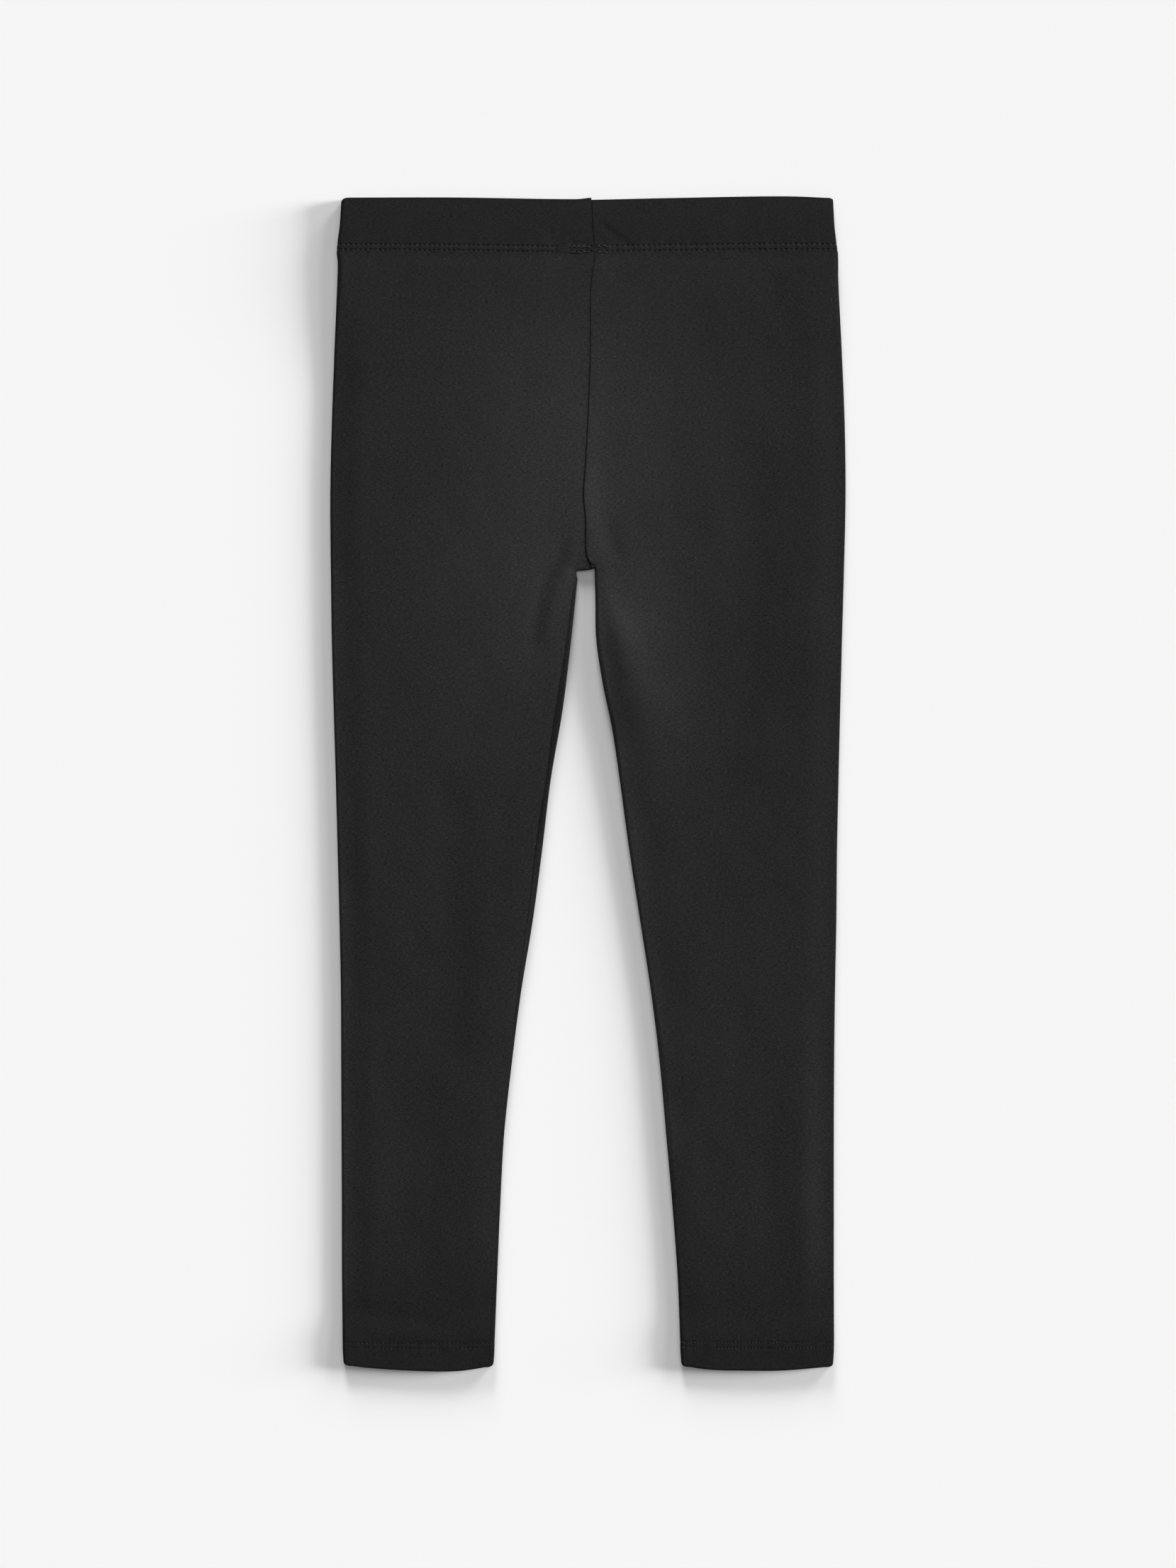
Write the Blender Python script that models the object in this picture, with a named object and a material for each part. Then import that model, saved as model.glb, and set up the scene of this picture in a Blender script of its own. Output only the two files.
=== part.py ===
"""Full-length leggings for a child, laid flat, as a maker would cut and sew them.

The waist points to +Y, the hems to -Y and the side that shows to +Z. The underside rests at
z = 0, and x = y = 0 is the middle of the garment's box. Each leg is one cut piece, folded along
its outer edge. Its long edges meet in the centre seams above the crotch and in the inseam below
it. The waistband is turned over an elastic, and the hems are turned up. Every piece is a wall of
cloth with its back and front layers lying on each other.

Sizes are in millimetres. Every cross-section is a rib: it starts at the middle of the garment,
runs under the piece to the outer fold, turns up and comes back over the top.
"""

import math
from collections import namedtuple

import bmesh
import bpy

METRES = 0.001

# Walls of cloth
LEG_WALL = 1.2  # one layer of jersey
BAND_WALL = 2.6  # two layers of jersey round an elastic
HEM_WALL = 2.2  # two layers of jersey
SEAM_GAP = 0.3

# Heights over the table
BODY_HEIGHT = 4.3
FOLD_HEIGHT = 3.5  # at the legs' outer folds
BAND_HEIGHT = 6.2
HEM_HEIGHT = 5.2
BAND_SLOPE = 90.0  # how far down the legs the waistband props the cloth up
HEM_SLOPE = 22.0
FOLD_EASE = 18.0  # how far in from a folded edge the top reaches its full height

# Places along the garment
HEM_LINE = -331.5
CROTCH = (3.6, 129.5)
FORK_RISE = (1.6, 2.5)  # from a leg's last folded rib to its first open one, at the seam and outside
SPREAD_RISE = 50.0  # how far up the centre seam the ribs' points move over to it
BAND_MIDDLE = 75.0  # how far from the centre seams the band halves' levels are set
HEM_MIDDLE = 90.0
BAND_CORNER = {"left": 3.0, "right": 1.6}
HEM_CORNER = 2.4
HEM_TAPER = 0.8  # how much the hems narrow towards their lower edge
END_ROUNDING = 0.75  # how far a turned edge rounds over, as a share of half its wall

# How finely the solids are divided
RUN_STEPS = 12
FOLD_STEPS = 5
HIP_ROWS = (0.0, 0.014, 0.04, 0.08, 0.15, 0.27, 0.39, 0.51, 0.63, 0.74, 0.84, 0.92, 1.0)  # crotch to band
BAND_ROWS = (1.0, 0.5, 0.2, 0.08, 0.03, 0.01, 0.0)  # shares of the band's depth below its top
HEM_ROWS = (0.0, 0.02, 0.07, 0.16, 0.5, 1.0)  # shares of the hem's depth above its lower edge

Outline = namedtuple("Outline", "y outer inner")
Corner = namedtuple("Corner", "x y turn outer_y")
Soft = namedtuple("Soft", "width height path")

# Flat width of each leg below the crotch: x of its outer fold and of its inseam
LEFT_LEG = (
    Outline(-331.5, -146.3, -55.6),
    Outline(-293.0, -146.7, -54.1),
    Outline(-251.0, -146.8, -52.3),
    Outline(-209.0, -147.0, -50.0),
    Outline(-166.5, -147.2, -45.4),
    Outline(-124.0, -147.4, -39.9),
    Outline(-82.0, -148.2, -33.0),
    Outline(-40.0, -149.3, -27.4),
    Outline(2.5, -150.4, -22.2),
    Outline(45.0, -151.7, -15.0),
    Outline(87.0, -152.8, -9.9),
    Outline(122.0, -153.3, -6.3),
)
RIGHT_LEG = (
    Outline(-331.5, 146.7, 54.9),
    Outline(-293.0, 146.6, 53.4),
    Outline(-251.0, 146.6, 50.3),
    Outline(-209.0, 146.6, 46.6),
    Outline(-166.5, 146.8, 42.8),
    Outline(-124.0, 147.3, 37.6),
    Outline(-82.0, 148.1, 31.2),
    Outline(-40.0, 148.5, 24.7),
    Outline(2.5, 149.4, 18.9),
    Outline(33.0, 150.1, 14.4),
    Outline(60.0, 150.8, 8.8),
    Outline(87.0, 151.5, 4.8),
    Outline(108.0, 152.1, 4.4),
    Outline(126.0, 152.6, 4.1),
)

# The gap between the legs ends in a short level step, which the left leg's inner fold follows.
# turn is the angle of the fold's face: 0 faces the other leg and 90 faces the hems.
LEFT_STEP = (
    Corner(-6.9, 126.6, 40.0, 126.6),
    Corner(-3.4, 127.2, 90.0, 128.8),
    Corner(0.6, 127.6, 82.0, 131.0),
    Corner(2.5, 128.4, 62.0, 133.2),
)
RIGHT_STEP = (Corner(4.0, 129.3, 0.0, 130.6),)

# Height of the legs' inner folds, as (y, height). The thighs are cut wider, so theirs stand fuller.
LEFT_INNER_FOLD = ((-200.0, 3.9), (-60.0, 3.8), (50.0, 4.1), (95.0, 4.0), (122.0, 3.5))
RIGHT_INNER_FOLD = ((-140.0, 4.0), (-50.0, 4.2), (10.0, 4.8), (60.0, 5.6), (95.0, 5.4), (126.0, 4.2))

# Outer folds from the crotch to the waist edge, as (y, x)
LEFT_HIP = (
    (122.0, -153.3),
    (171.6, -153.7),
    (214.0, -152.8),
    (256.0, -151.3),
    (300.0, -149.4),
    (311.0, -149.2),
    (316.5, -149.8),
    (324.0, -149.1),
    (333.0, -147.9),
    (350.0, -146.9),
)
RIGHT_HIP = (
    (126.0, 152.6),
    (171.6, 153.6),
    (214.0, 153.1),
    (256.0, 151.4),
    (300.0, 149.2),
    (315.5, 149.0),
    (324.0, 148.0),
    (333.0, 146.9),
    (350.0, 146.1),
)

# The centre seams, front and back on one line, as (y, x)
CENTRE_SEAM = (
    (129.3, 3.5),
    (132.3, 0.8),
    (138.0, -1.4),
    (157.7, -1.7),
    (172.0, -2.9),
    (193.6, -1.5),
    (228.3, 0.2),
    (258.3, 1.1),
    (294.6, 1.4),
    (315.5, 3.8),
    (331.8, 2.7),
    (350.0, 1.9),
)

# Waist edge, band seam and hem edges, as (x, y)
WAIST_EDGE = {
    "left": ((-150.0, 349.2), (-80.0, 349.3), (-8.0, 348.3), (2.0, 349.2)),
    "right": ((2.0, 347.9), (60.0, 349.2), (117.7, 350.0), (150.0, 348.7)),
}
BAND_EDGE = (
    (-150.0, 316.8),
    (-85.0, 316.4),
    (-19.7, 315.4),
    (29.8, 315.9),
    (90.0, 316.6),
    (150.0, 316.8),
)
HEM_EDGE = {
    "left": (
        (-146.0, -345.8),
        (-130.2, -347.9),
        (-97.4, -349.8),
        (-78.4, -349.8),
        (-61.1, -347.4),
        (-55.8, -345.6),
    ),
    "right": (
        (55.0, -346.2),
        (70.6, -348.7),
        (94.9, -349.5),
        (115.9, -349.4),
        (141.0, -347.4),
        (147.2, -346.8),
    ),
}

# Soft ridges and troughs in the cloth that lies on top, each along its path of (x, y) points
SOFT_FOLDS = (
    # roll of the right thigh, with its fullest stretch
    Soft(20.0, 0.7, ((17.0, 112.0), (21.0, 95.0), (30.0, 50.0), (38.0, 2.0))),
    Soft(20.0, 1.3, ((24.0, 84.0), (30.0, 52.0))),
    Soft(16.0, -0.5, ((96.0, 190.0), (92.0, 40.0))),  # shallow trough outside that roll
    Soft(18.0, 0.4, ((-44.0, 130.0), (-52.0, 20.0))),  # flatter roll of the left thigh
    Soft(7.0, -0.4, ((-20.0, 122.0), (-27.0, 102.0), (-31.0, 84.0))),  # trough beside the crotch
    Soft(13.0, -0.5, ((-82.0, -10.0), (-80.0, -160.0))),  # long trough down the left leg
    Soft(14.0, 0.5, ((126.0, -150.0), (132.0, -280.0))),
    Soft(6.0, -0.4, ((-132.0, -318.0), (-92.0, -321.0))),  # hollow above the left hem's stitching
)

JERSEY_COLOUR = (0.0185, 0.0185, 0.019, 1.0)
BAND_COLOUR = (0.0165, 0.0165, 0.017, 1.0)
HEM_COLOUR = (0.0145, 0.0145, 0.015, 1.0)
CLOTH_ROUGHNESS = 0.85
CREASE_ANGLE = math.radians(50.0)  # edges sharper than this stay sharp when shaded


def mix(low, high, share):
    return low + (high - low) * share


def ease(share):
    """A smooth step from 0 to 1."""
    share = min(max(share, 0.0), 1.0)
    return share * share * (3.0 - 2.0 * share)


def curve(points, at):
    """The smooth curve through (place, value) points, read at one place."""
    at = min(max(at, points[0][0]), points[-1][0])
    last = len(points) - 1
    left = max(k for k in range(last) if points[k][0] <= at)

    def slope(k):
        before, after = points[max(k - 1, 0)], points[min(k + 1, last)]
        return (after[1] - before[1]) / (after[0] - before[0])

    (start, low), (end, high) = points[left], points[left + 1]
    span = end - start
    s = (at - start) / span
    return (
        mix(low, high, ease(s))
        + span * slope(left) * s * (1.0 - s) ** 2
        - span * slope(left + 1) * s * s * (1.0 - s)
    )


def near_band(y):
    return ease((y - curve(BAND_EDGE, 0.0) + BAND_SLOPE) / BAND_SLOPE)


def near_hem(y):
    return ease((HEM_LINE + HEM_SLOPE - y) / HEM_SLOPE)


def raised(flat_height, y):
    """A leg's height, brought up to the waistband's and the hem's where it joins them."""
    return mix(mix(flat_height, BAND_HEIGHT, near_band(y)), HEM_HEIGHT, near_hem(y))


def from_path(x, y, path):
    """Distance in plan from a point to a path given by its points."""
    nearest = math.inf
    for (x0, y0), (x1, y1) in zip(path, path[1:]):
        along = (x1 - x0, y1 - y0)
        share = ((x - x0) * along[0] + (y - y0) * along[1]) / (along[0] ** 2 + along[1] ** 2)
        share = min(max(share, 0.0), 1.0)
        nearest = min(nearest, math.hypot(x - mix(x0, x1, share), y - mix(y0, y1, share)))
    return nearest


def body_height(x, y):
    """Height of a leg's top face away from its folded edges."""
    height = BODY_HEIGHT
    for soft in SOFT_FOLDS:
        height += soft.height * math.exp(-((from_path(x, y, soft.path) / soft.width) ** 2))
    return raised(height, y)


def fold_height(y):
    """Height of a leg's outer fold."""
    return raised(FOLD_HEIGHT, y)


def inner_fold_height(inner_fold, y):
    """Height of a leg's fold at the inseam."""
    return raised(curve(inner_fold, y), y)


def run_between(inner, outer, spread_x=None):
    """Plan points from the inner to the outer edge, closer together near both.

    spread_x, where given, is the x that all points but the first are spread from, so that they
    stay in line with those of the neighbouring ribs where the inner edge steps sideways.
    """
    start = inner[0] if spread_x is None else spread_x
    run = [inner]
    for k in range(1, RUN_STEPS + 1):
        x = mix(start, outer[0], 0.5 - 0.5 * math.cos(math.pi * k / RUN_STEPS))
        run.append((x, mix(inner[1], outer[1], (x - inner[0]) / (outer[0] - inner[0]))))
    return run


def turned_edge(anchor, facing, height, wall, inset, upward):
    """Pairs of points round a folded edge, on the outer and the inner face of the cloth."""
    middle = height / 2.0
    pairs = []
    for k in range(1, FOLD_STEPS):
        angle = math.pi * (k / FOLD_STEPS - 0.5) * (1.0 if upward else -1.0)
        pair = []
        for radius in (middle - inset, middle - wall + inset):
            reach = radius * math.cos(angle)
            pair.append((
                anchor[0] + facing[0] * reach,
                anchor[1] + facing[1] * reach,
                middle + radius * math.sin(angle),
            ))
        pairs.append(pair)
    return pairs


def rib(run, heights, wall, outer_facing, inner_facing=None, inset=0.0):
    """One cross-section: pairs of points under the piece, round its fold and back over it.

    run goes from the inner to the outer edge, and heights holds the top face's height at each of
    its points. A rib with an inner_facing is folded at its inner edge too, and closes there.
    """
    under = [((x, y, inset), (x, y, wall - inset)) for x, y in run]
    over = [((x, y, z - inset), (x, y, z - wall + inset)) for (x, y), z in zip(run, heights)]
    pairs = under + turned_edge(run[-1], outer_facing, heights[-1], wall, inset, True) + over[::-1]
    if inner_facing:
        pairs += turned_edge(run[0], inner_facing, heights[0], wall, inset, False)
    return pairs


def wall_solid(name, ribs, colour):
    """One closed solid: the outer and inner faces of a wall of cloth that passes through ribs.

    Ribs that close at the inner edge come first. Where they stop, the folded edge gets a cap.
    """
    open_count = 2 * (RUN_STEPS + 1) + FOLD_STEPS - 1
    mesh = bmesh.new()
    rows = []
    for pairs in ribs:
        rows.append([[mesh.verts.new([c * METRES for c in point]) for point in pair] for pair in pairs])

    def closes(row):
        return len(row) > open_count

    def columns(row):
        count = len(row)
        return [(c, (c + 1) % count) for c in range(count if closes(row) else count - 1)]

    def bridge(row, pairs_of_columns):
        for c, d in pairs_of_columns:
            mesh.faces.new((row[c][0], row[d][0], row[d][1], row[c][1]))

    for row, above in zip(rows, rows[1:]):
        shared = columns(above if closes(row) and not closes(above) else row)
        for c, d in shared:
            for face in (0, 1):
                mesh.faces.new((row[c][face], row[d][face], above[d][face], above[c][face]))
        if not closes(above):
            for c in (0, open_count - 1):
                mesh.faces.new((row[c][0], row[c][1], above[c][1], above[c][0]))
            bridge(row, columns(row)[open_count - 1:])
    bridge(rows[0], columns(rows[0]))
    bridge(rows[-1], columns(rows[-1]))

    bmesh.ops.recalc_face_normals(mesh, faces=mesh.faces)
    data = bpy.data.meshes.new(name)
    mesh.to_mesh(data)
    mesh.free()
    data.shade_smooth()
    data.set_sharp_from_angle(angle=CREASE_ANGLE)
    data.materials.append(cloth_material(name, colour))
    piece = bpy.data.objects.new(name, data)
    bpy.context.collection.objects.link(piece)
    return piece


def cloth_material(name, colour):
    material = bpy.data.materials.new(f"{name}_cloth")
    material.use_nodes = True
    shader = material.node_tree.nodes["Principled BSDF"]
    shader.inputs["Base Color"].default_value = colour
    shader.inputs["Roughness"].default_value = CLOTH_ROUGHNESS
    shader.inputs["Metallic"].default_value = 0.0
    return material


def top_heights(run, edge, inner_fold):
    """Heights of a leg's top face along a run, eased down to the outer fold and the inner edge."""
    heights = []
    for x, y in run:
        full, outer_low, inner_low = body_height(x, y), fold_height(y), inner_fold_height(inner_fold, y)
        from_outer = math.dist((x, y), run[-1])
        from_inner = max(from_path(x, y, edge) - inner_low / 2.0, 0.0)
        height = mix(outer_low, full, ease(from_outer / FOLD_EASE))
        heights.append(height + (inner_low - full) * (1.0 - ease(from_inner / FOLD_EASE)))
    return heights


def closed_leg_rib(corner, outer_x, edge, inner_fold, side, spread_x=None):
    """A rib of a leg below the crotch, folded at the inseam as well."""
    turn = math.radians(corner.turn)
    inner_facing = (-side * math.cos(turn), -math.sin(turn))
    inner_radius = inner_fold_height(inner_fold, corner.y) / 2.0
    outer_radius = fold_height(corner.outer_y) / 2.0
    inner = (corner.x - inner_facing[0] * inner_radius, corner.y - inner_facing[1] * inner_radius)
    run = run_between(inner, (outer_x - side * outer_radius, corner.outer_y), spread_x)
    return rib(run, top_heights(run, edge, inner_fold), LEG_WALL, (side, 0.0), inner_facing)


def open_leg_rib(share, bottom, top, hip, edge, inner_fold, side, spread_x):
    """A rib of a leg above the crotch, which ends at the centre seams.

    share runs from 0 at the crotch to 1 at the waistband, whose lower edge the last rib follows.
    bottom and top each hold the y of the seam end and of the outer fold.
    """
    inner_y, outer_y = mix(bottom[0], top[0], share), mix(bottom[1], top[1], share)
    inner = (curve(CENTRE_SEAM, inner_y) + side * SEAM_GAP / 2.0, inner_y)
    outer = (curve(hip, outer_y) - side * fold_height(outer_y) / 2.0, outer_y)
    spread_x = mix(spread_x, inner[0], ease((inner_y - bottom[0]) / SPREAD_RISE))
    run = []
    for x, y in run_between(inner, outer, spread_x):
        straight = mix(top[0], top[1], (x - inner[0]) / (outer[0] - inner[0]))
        run.append((x, y + share * (curve(BAND_EDGE, x) - SEAM_GAP - straight)))
    return rib(run, top_heights(run, edge, inner_fold), LEG_WALL, (side, 0.0))


def leg(name, outline, step, inner_fold, hip, side):
    """A leg from its hem to the waistband. side is -1 for the left leg and 1 for the right one."""
    outer = [(row.y, row.outer) for row in outline] + [point for point in hip if point[0] > outline[-1].y]
    inner = [(row.y, row.inner) for row in outline]
    edge = [(row.inner, row.y) for row in outline] + [(corner.x, corner.y) for corner in step] + [CROTCH]
    stations = [outline[0].y]
    for row, above in zip(outline, outline[1:]):
        stations += [mix(row.y, above.y, 0.5), above.y]
    ribs = []
    for y in stations:
        corner = Corner(curve(inner, y), y, 0.0, y)
        ribs.append(closed_leg_rib(corner, curve(outer, y), edge, inner_fold, side))
    spread_x = outline[-1].inner + side * inner_fold_height(inner_fold, outline[-1].y) / 2.0
    for corner in step:
        outer_x = curve(outer, corner.outer_y)
        ribs.append(closed_leg_rib(corner, outer_x, edge, inner_fold, side, spread_x))

    top = (curve(BAND_EDGE, 0.0) - SEAM_GAP, curve(BAND_EDGE, hip[-1][1]) - SEAM_GAP)
    bottom = (CROTCH[1] + FORK_RISE[0], step[-1].outer_y + FORK_RISE[1])
    for share in HIP_ROWS:
        ribs.append(open_leg_rib(share, bottom, top, outer, edge, inner_fold, side, spread_x))
    return wall_solid(name, ribs, JERSEY_COLOUR)


def rounded_end(depth_below, corner):
    """How far a corner of the given radius pulls an edge in, at a depth below the corner's end."""
    short = max(corner - depth_below, 0.0)
    return corner - math.sqrt(corner * corner - short * short)


def waistband(name, hip, waist_edge, corner, side):
    """Half of the turned band, from the centre seams round the outer fold."""
    depth = curve(waist_edge, 0.0) - curve(BAND_EDGE, 0.0)
    ribs = []
    for share in BAND_ROWS:
        below = depth * share
        level = curve(waist_edge, side * BAND_MIDDLE) - below
        inset = rounded_end(below, BAND_WALL / 2.0) * END_ROUNDING
        inner_x = curve(CENTRE_SEAM, level) + side * SEAM_GAP / 2.0
        outer_x = curve(hip, level) - side * (rounded_end(below, corner) + BAND_HEIGHT / 2.0)
        run = []
        for x, _ in run_between((inner_x, 0.0), (outer_x, 0.0)):
            run.append((x, mix(curve(waist_edge, x), curve(BAND_EDGE, x), share)))
        heights = [BAND_HEIGHT] * len(run)
        ribs.append(rib(run, heights, BAND_WALL, (side, 0.0), inset=inset))
    return wall_solid(name, ribs, BAND_COLOUR)


def hem(name, outline, hem_edge, side):
    """The turned-up end of a leg."""
    top = HEM_LINE - SEAM_GAP
    depth = top - curve(hem_edge, side * HEM_MIDDLE)
    ribs = []
    for share in HEM_ROWS:
        above = depth * share
        inset = rounded_end(above, HEM_WALL / 2.0) * END_ROUNDING
        pulled_in = rounded_end(above, HEM_CORNER) + HEM_HEIGHT / 2.0 + HEM_TAPER * (1.0 - share) ** 2
        ends = (outline[0].inner + side * pulled_in, outline[0].outer - side * pulled_in)
        run = []
        for x, _ in run_between((ends[0], 0.0), (ends[1], 0.0)):
            run.append((x, mix(curve(hem_edge, x), top, share)))
        heights = [HEM_HEIGHT] * len(run)
        ribs.append(rib(run, heights, HEM_WALL, (side, 0.0), (-side, 0.0), inset))
    return wall_solid(name, ribs, HEM_COLOUR)


def main():
    for old in list(bpy.data.objects):
        bpy.data.objects.remove(old)
    garment = bpy.data.objects.new("leggings", None)
    bpy.context.collection.objects.link(garment)
    pieces = (
        leg("leg_left", LEFT_LEG, LEFT_STEP, LEFT_INNER_FOLD, LEFT_HIP, -1),
        leg("leg_right", RIGHT_LEG, RIGHT_STEP, RIGHT_INNER_FOLD, RIGHT_HIP, 1),
        waistband("waistband_left", LEFT_HIP, WAIST_EDGE["left"], BAND_CORNER["left"], -1),
        waistband("waistband_right", RIGHT_HIP, WAIST_EDGE["right"], BAND_CORNER["right"], 1),
        hem("hem_left", LEFT_LEG, HEM_EDGE["left"], -1),
        hem("hem_right", RIGHT_LEG, HEM_EDGE["right"], 1),
    )
    for piece in pieces:
        piece.parent = garment


main()
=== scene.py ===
# %% [markdown]
# # A pair of leggings, laid flat
# Full-length leggings in near-black cotton jersey lie on a table, front and back pressed together.
# There is hardly any shape to see, so everything depends on small things: how the cloth rolls over
# at its folds, the seams and their stitching, the low ripples of the jersey, and a light that
# comes in low enough to show them. This lesson builds the cloth as fine shells round the packed
# solids, sews it with real thread, dyes it, paints light and shade into its colour, and lights it.

# %% Load the imported solids
import math
from collections import namedtuple

import bpy
import numpy as np
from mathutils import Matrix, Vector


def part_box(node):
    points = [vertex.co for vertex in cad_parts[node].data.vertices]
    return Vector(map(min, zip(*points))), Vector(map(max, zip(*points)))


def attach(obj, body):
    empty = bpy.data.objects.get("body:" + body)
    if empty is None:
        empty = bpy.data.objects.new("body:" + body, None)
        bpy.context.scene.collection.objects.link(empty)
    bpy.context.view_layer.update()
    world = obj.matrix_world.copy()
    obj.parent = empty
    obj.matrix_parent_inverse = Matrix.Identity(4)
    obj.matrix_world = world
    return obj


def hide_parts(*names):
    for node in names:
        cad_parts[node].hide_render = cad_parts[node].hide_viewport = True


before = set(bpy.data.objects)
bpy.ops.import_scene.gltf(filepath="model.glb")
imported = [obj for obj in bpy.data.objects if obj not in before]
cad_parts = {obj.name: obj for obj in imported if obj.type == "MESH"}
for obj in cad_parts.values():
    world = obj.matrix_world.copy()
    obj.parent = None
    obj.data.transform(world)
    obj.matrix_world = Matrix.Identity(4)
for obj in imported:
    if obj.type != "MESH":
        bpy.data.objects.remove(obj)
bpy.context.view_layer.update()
METRES = 0.001  # every size below is in millimetres
for node in sorted(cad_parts):
    low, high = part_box(node)
    print(node, [round((b - a) / METRES, 1) for a, b in zip(low, high)], "mm")

# %% [markdown]
# ## The cut
# A maker starts from the flat pattern. Each leg is one piece of jersey, folded at its outer edge,
# so there is no side seam. Its long edges meet in the centre seams above the crotch and in the
# inseam below it. The tables give the outline of the folded garment: y runs from the hems up to
# the waist, and x goes out from the middle. A smooth curve is drawn through the points of each
# table, which keeps the tables short.

# %% A smooth curve through a few points
def mix(low, high, share):
    return low + (high - low) * share


def ease(share):
    """A smooth step from 0 to 1."""
    share = np.clip(share, 0, 1)
    return share * share * (3 - 2 * share)


def bell(distance, width):
    """A soft hump: 1 at distance 0, a third at the width, and almost nothing at twice that."""
    return np.exp(-((distance / width) ** 2))


def curve(points, at):
    """The smooth curve through (place, value) points, read at any number of places."""
    places, values = np.array(points, float).T
    slopes = np.empty_like(values)
    slopes[1:-1] = (values[2:] - values[:-2]) / (places[2:] - places[:-2])
    slopes[0] = (values[1] - values[0]) / (places[1] - places[0])
    slopes[-1] = (values[-1] - values[-2]) / (places[-1] - places[-2])
    at = np.clip(at, places[0], places[-1])
    k = np.clip(np.searchsorted(places, at, side="right") - 1, 0, len(places) - 2)
    span = places[k + 1] - places[k]
    s = (at - places[k]) / span
    bend = slopes[k] * s * (1 - s) ** 2 - slopes[k + 1] * s * s * (1 - s)
    return mix(values[k], values[k + 1], ease(s)) + span * bend


# %% The outline of the two legs
Row = namedtuple("Row", "y outer inner")
Corner = namedtuple("Corner", "x y turn outer_y")
Cut = namedtuple("Cut", "side rows step fold hip waist hem inseam band_corner band_pitch hem_pitch")

# step is the inner edge's way round the crotch, and turn the way its fold faces, in degrees.
# fold is the height of the leg's inner fold, and inseam how far the seam lies in from it, by y.
LEFT = Cut(
    side=-1,
    rows=(
        Row(-331.5, -146.3, -55.6), Row(-293, -146.7, -54.1), Row(-251, -146.8, -52.3),
        Row(-209, -147, -50), Row(-166.5, -147.2, -45.4), Row(-124, -147.4, -39.9),
        Row(-82, -148.2, -33), Row(-40, -149.3, -27.4), Row(2.5, -150.4, -22.2),
        Row(45, -151.7, -15), Row(87, -152.8, -9.9), Row(122, -153.3, -6.3),
    ),
    step=(
        Corner(-6.9, 126.6, 40, 126.6), Corner(-3.4, 127.2, 90, 128.8),
        Corner(0.6, 127.6, 82, 131), Corner(3.4, 128.4, 50, 133.2),
    ),
    fold=((-200, 3.9), (-60, 3.8), (50, 4.1), (95, 4), (122, 3.5)),
    hip=(
        (122, -153.3), (171.6, -153.7), (214, -152.8), (256, -151.3), (300, -149.4),
        (311, -149.2), (316.5, -149.8), (324, -149.1), (333, -147.9), (350, -146.9),
    ),
    waist=((-150, 349.2), (-80, 349.3), (-8, 348.3), (2, 349.2)),
    hem=(
        (-146, -345.8), (-130.2, -347.9), (-97.4, -349.8), (-78.4, -349.8),
        (-61.1, -347.4), (-55.8, -345.6),
    ),
    inseam=(
        (-345, 2.9), (-314.5, 2.6), (-293, 1.9), (-251, 1.8), (-209, 1.6), (-166.5, 1.4), (-145, 1.7),
        (-124, 2.1), (-103, 3), (-61, 3.6), (-40, 4), (-18, 3.6), (2.5, 2.8), (36, 4.3), (52, 4.2),
        (84, 2.9), (103, 2.5), (122, 1.8),
    ),
    band_corner=3.0, band_pitch=2.92, hem_pitch=2.47,
)
RIGHT = Cut(
    side=1,
    rows=(
        Row(-331.5, 146.7, 54.9), Row(-293, 146.6, 53.4), Row(-251, 146.6, 50.3), Row(-209, 146.6, 46.6),
        Row(-166.5, 146.8, 42.8), Row(-124, 147.3, 37.6), Row(-82, 148.1, 31.2), Row(-40, 148.5, 24.7),
        Row(2.5, 149.4, 18.9), Row(33, 150.1, 14.4), Row(60, 150.8, 8.8), Row(87, 151.5, 4.8),
        Row(108, 152.1, 4.4), Row(126, 152.6, 4.1),
    ),
    step=(Corner(4, 127.8, 0, 128.4), Corner(2.9, 129.5, 0, 130.6)),
    fold=((-140, 4), (-50, 4.2), (10, 4.8), (60, 5.6), (95, 5.4), (126, 4.2)),
    hip=(
        (126, 152.6), (171.6, 153.6), (214, 153.1), (256, 151.4), (300, 149.2),
        (315.5, 149), (324, 148), (333, 146.9), (350, 146.1),
    ),
    waist=((2, 347.9), (60, 349.2), (117.7, 350), (150, 348.7)),
    hem=((55, -346.2), (70.6, -348.7), (94.9, -349.5), (115.9, -349.4), (141, -347.4), (147.2, -346.8)),
    inseam=(
        (-345, 1.2), (-293, 1.1), (-251, 1.7), (-209, 2.3), (-166.5, 2.2), (-145, 1.9), (-124, 1.3),
        (-103, 0.5), (122, 0.3),
    ),
    band_corner=1.6, band_pitch=3.13, hem_pitch=2.03,
)
CENTRE_SEAM = (  # front and back on one line, as (y, x)
    (129.3, 3.5), (132.3, 0.8), (138, -1.4), (157.7, -1.7), (172, -2.9), (193.6, -1.5), (228.3, 0.2),
    (258.3, 1.1), (294.6, 1.4), (315.5, 3.8), (331.8, 2.7), (350, 1.9),
)
BAND_EDGE = (  # where the waistband ends on the legs, as (x, y)
    (-150, 316.8), (-85, 316.4), (-19.7, 315.4), (29.8, 315.9), (90, 316.6), (150, 316.8),
)
HEM_LINE = -331.5
CROTCH = (3.6, 129.5)
SEAM_GAP = -0.02  # the cut edges press together at the bottom of the seams
print("waist", round(LEFT.waist[0][1] - LEFT.hem[2][1], 1), "mm above the lowest hem")

# %% [markdown]
# ## How high the cloth lies
# Flat cloth isn't flat. It stands a little higher where the waistband and the hems prop it up,
# it rolls down to its folds, and long soft folds run from the crotch down the thighs. Each of
# those is a line of points with a width and a height, and the surface adds them up. Finer creases
# come from a second table. They fade out towards both ends, as creases in jersey do, and no two
# are alike. A last layer of slow waves keeps any part from being dead flat.

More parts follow.
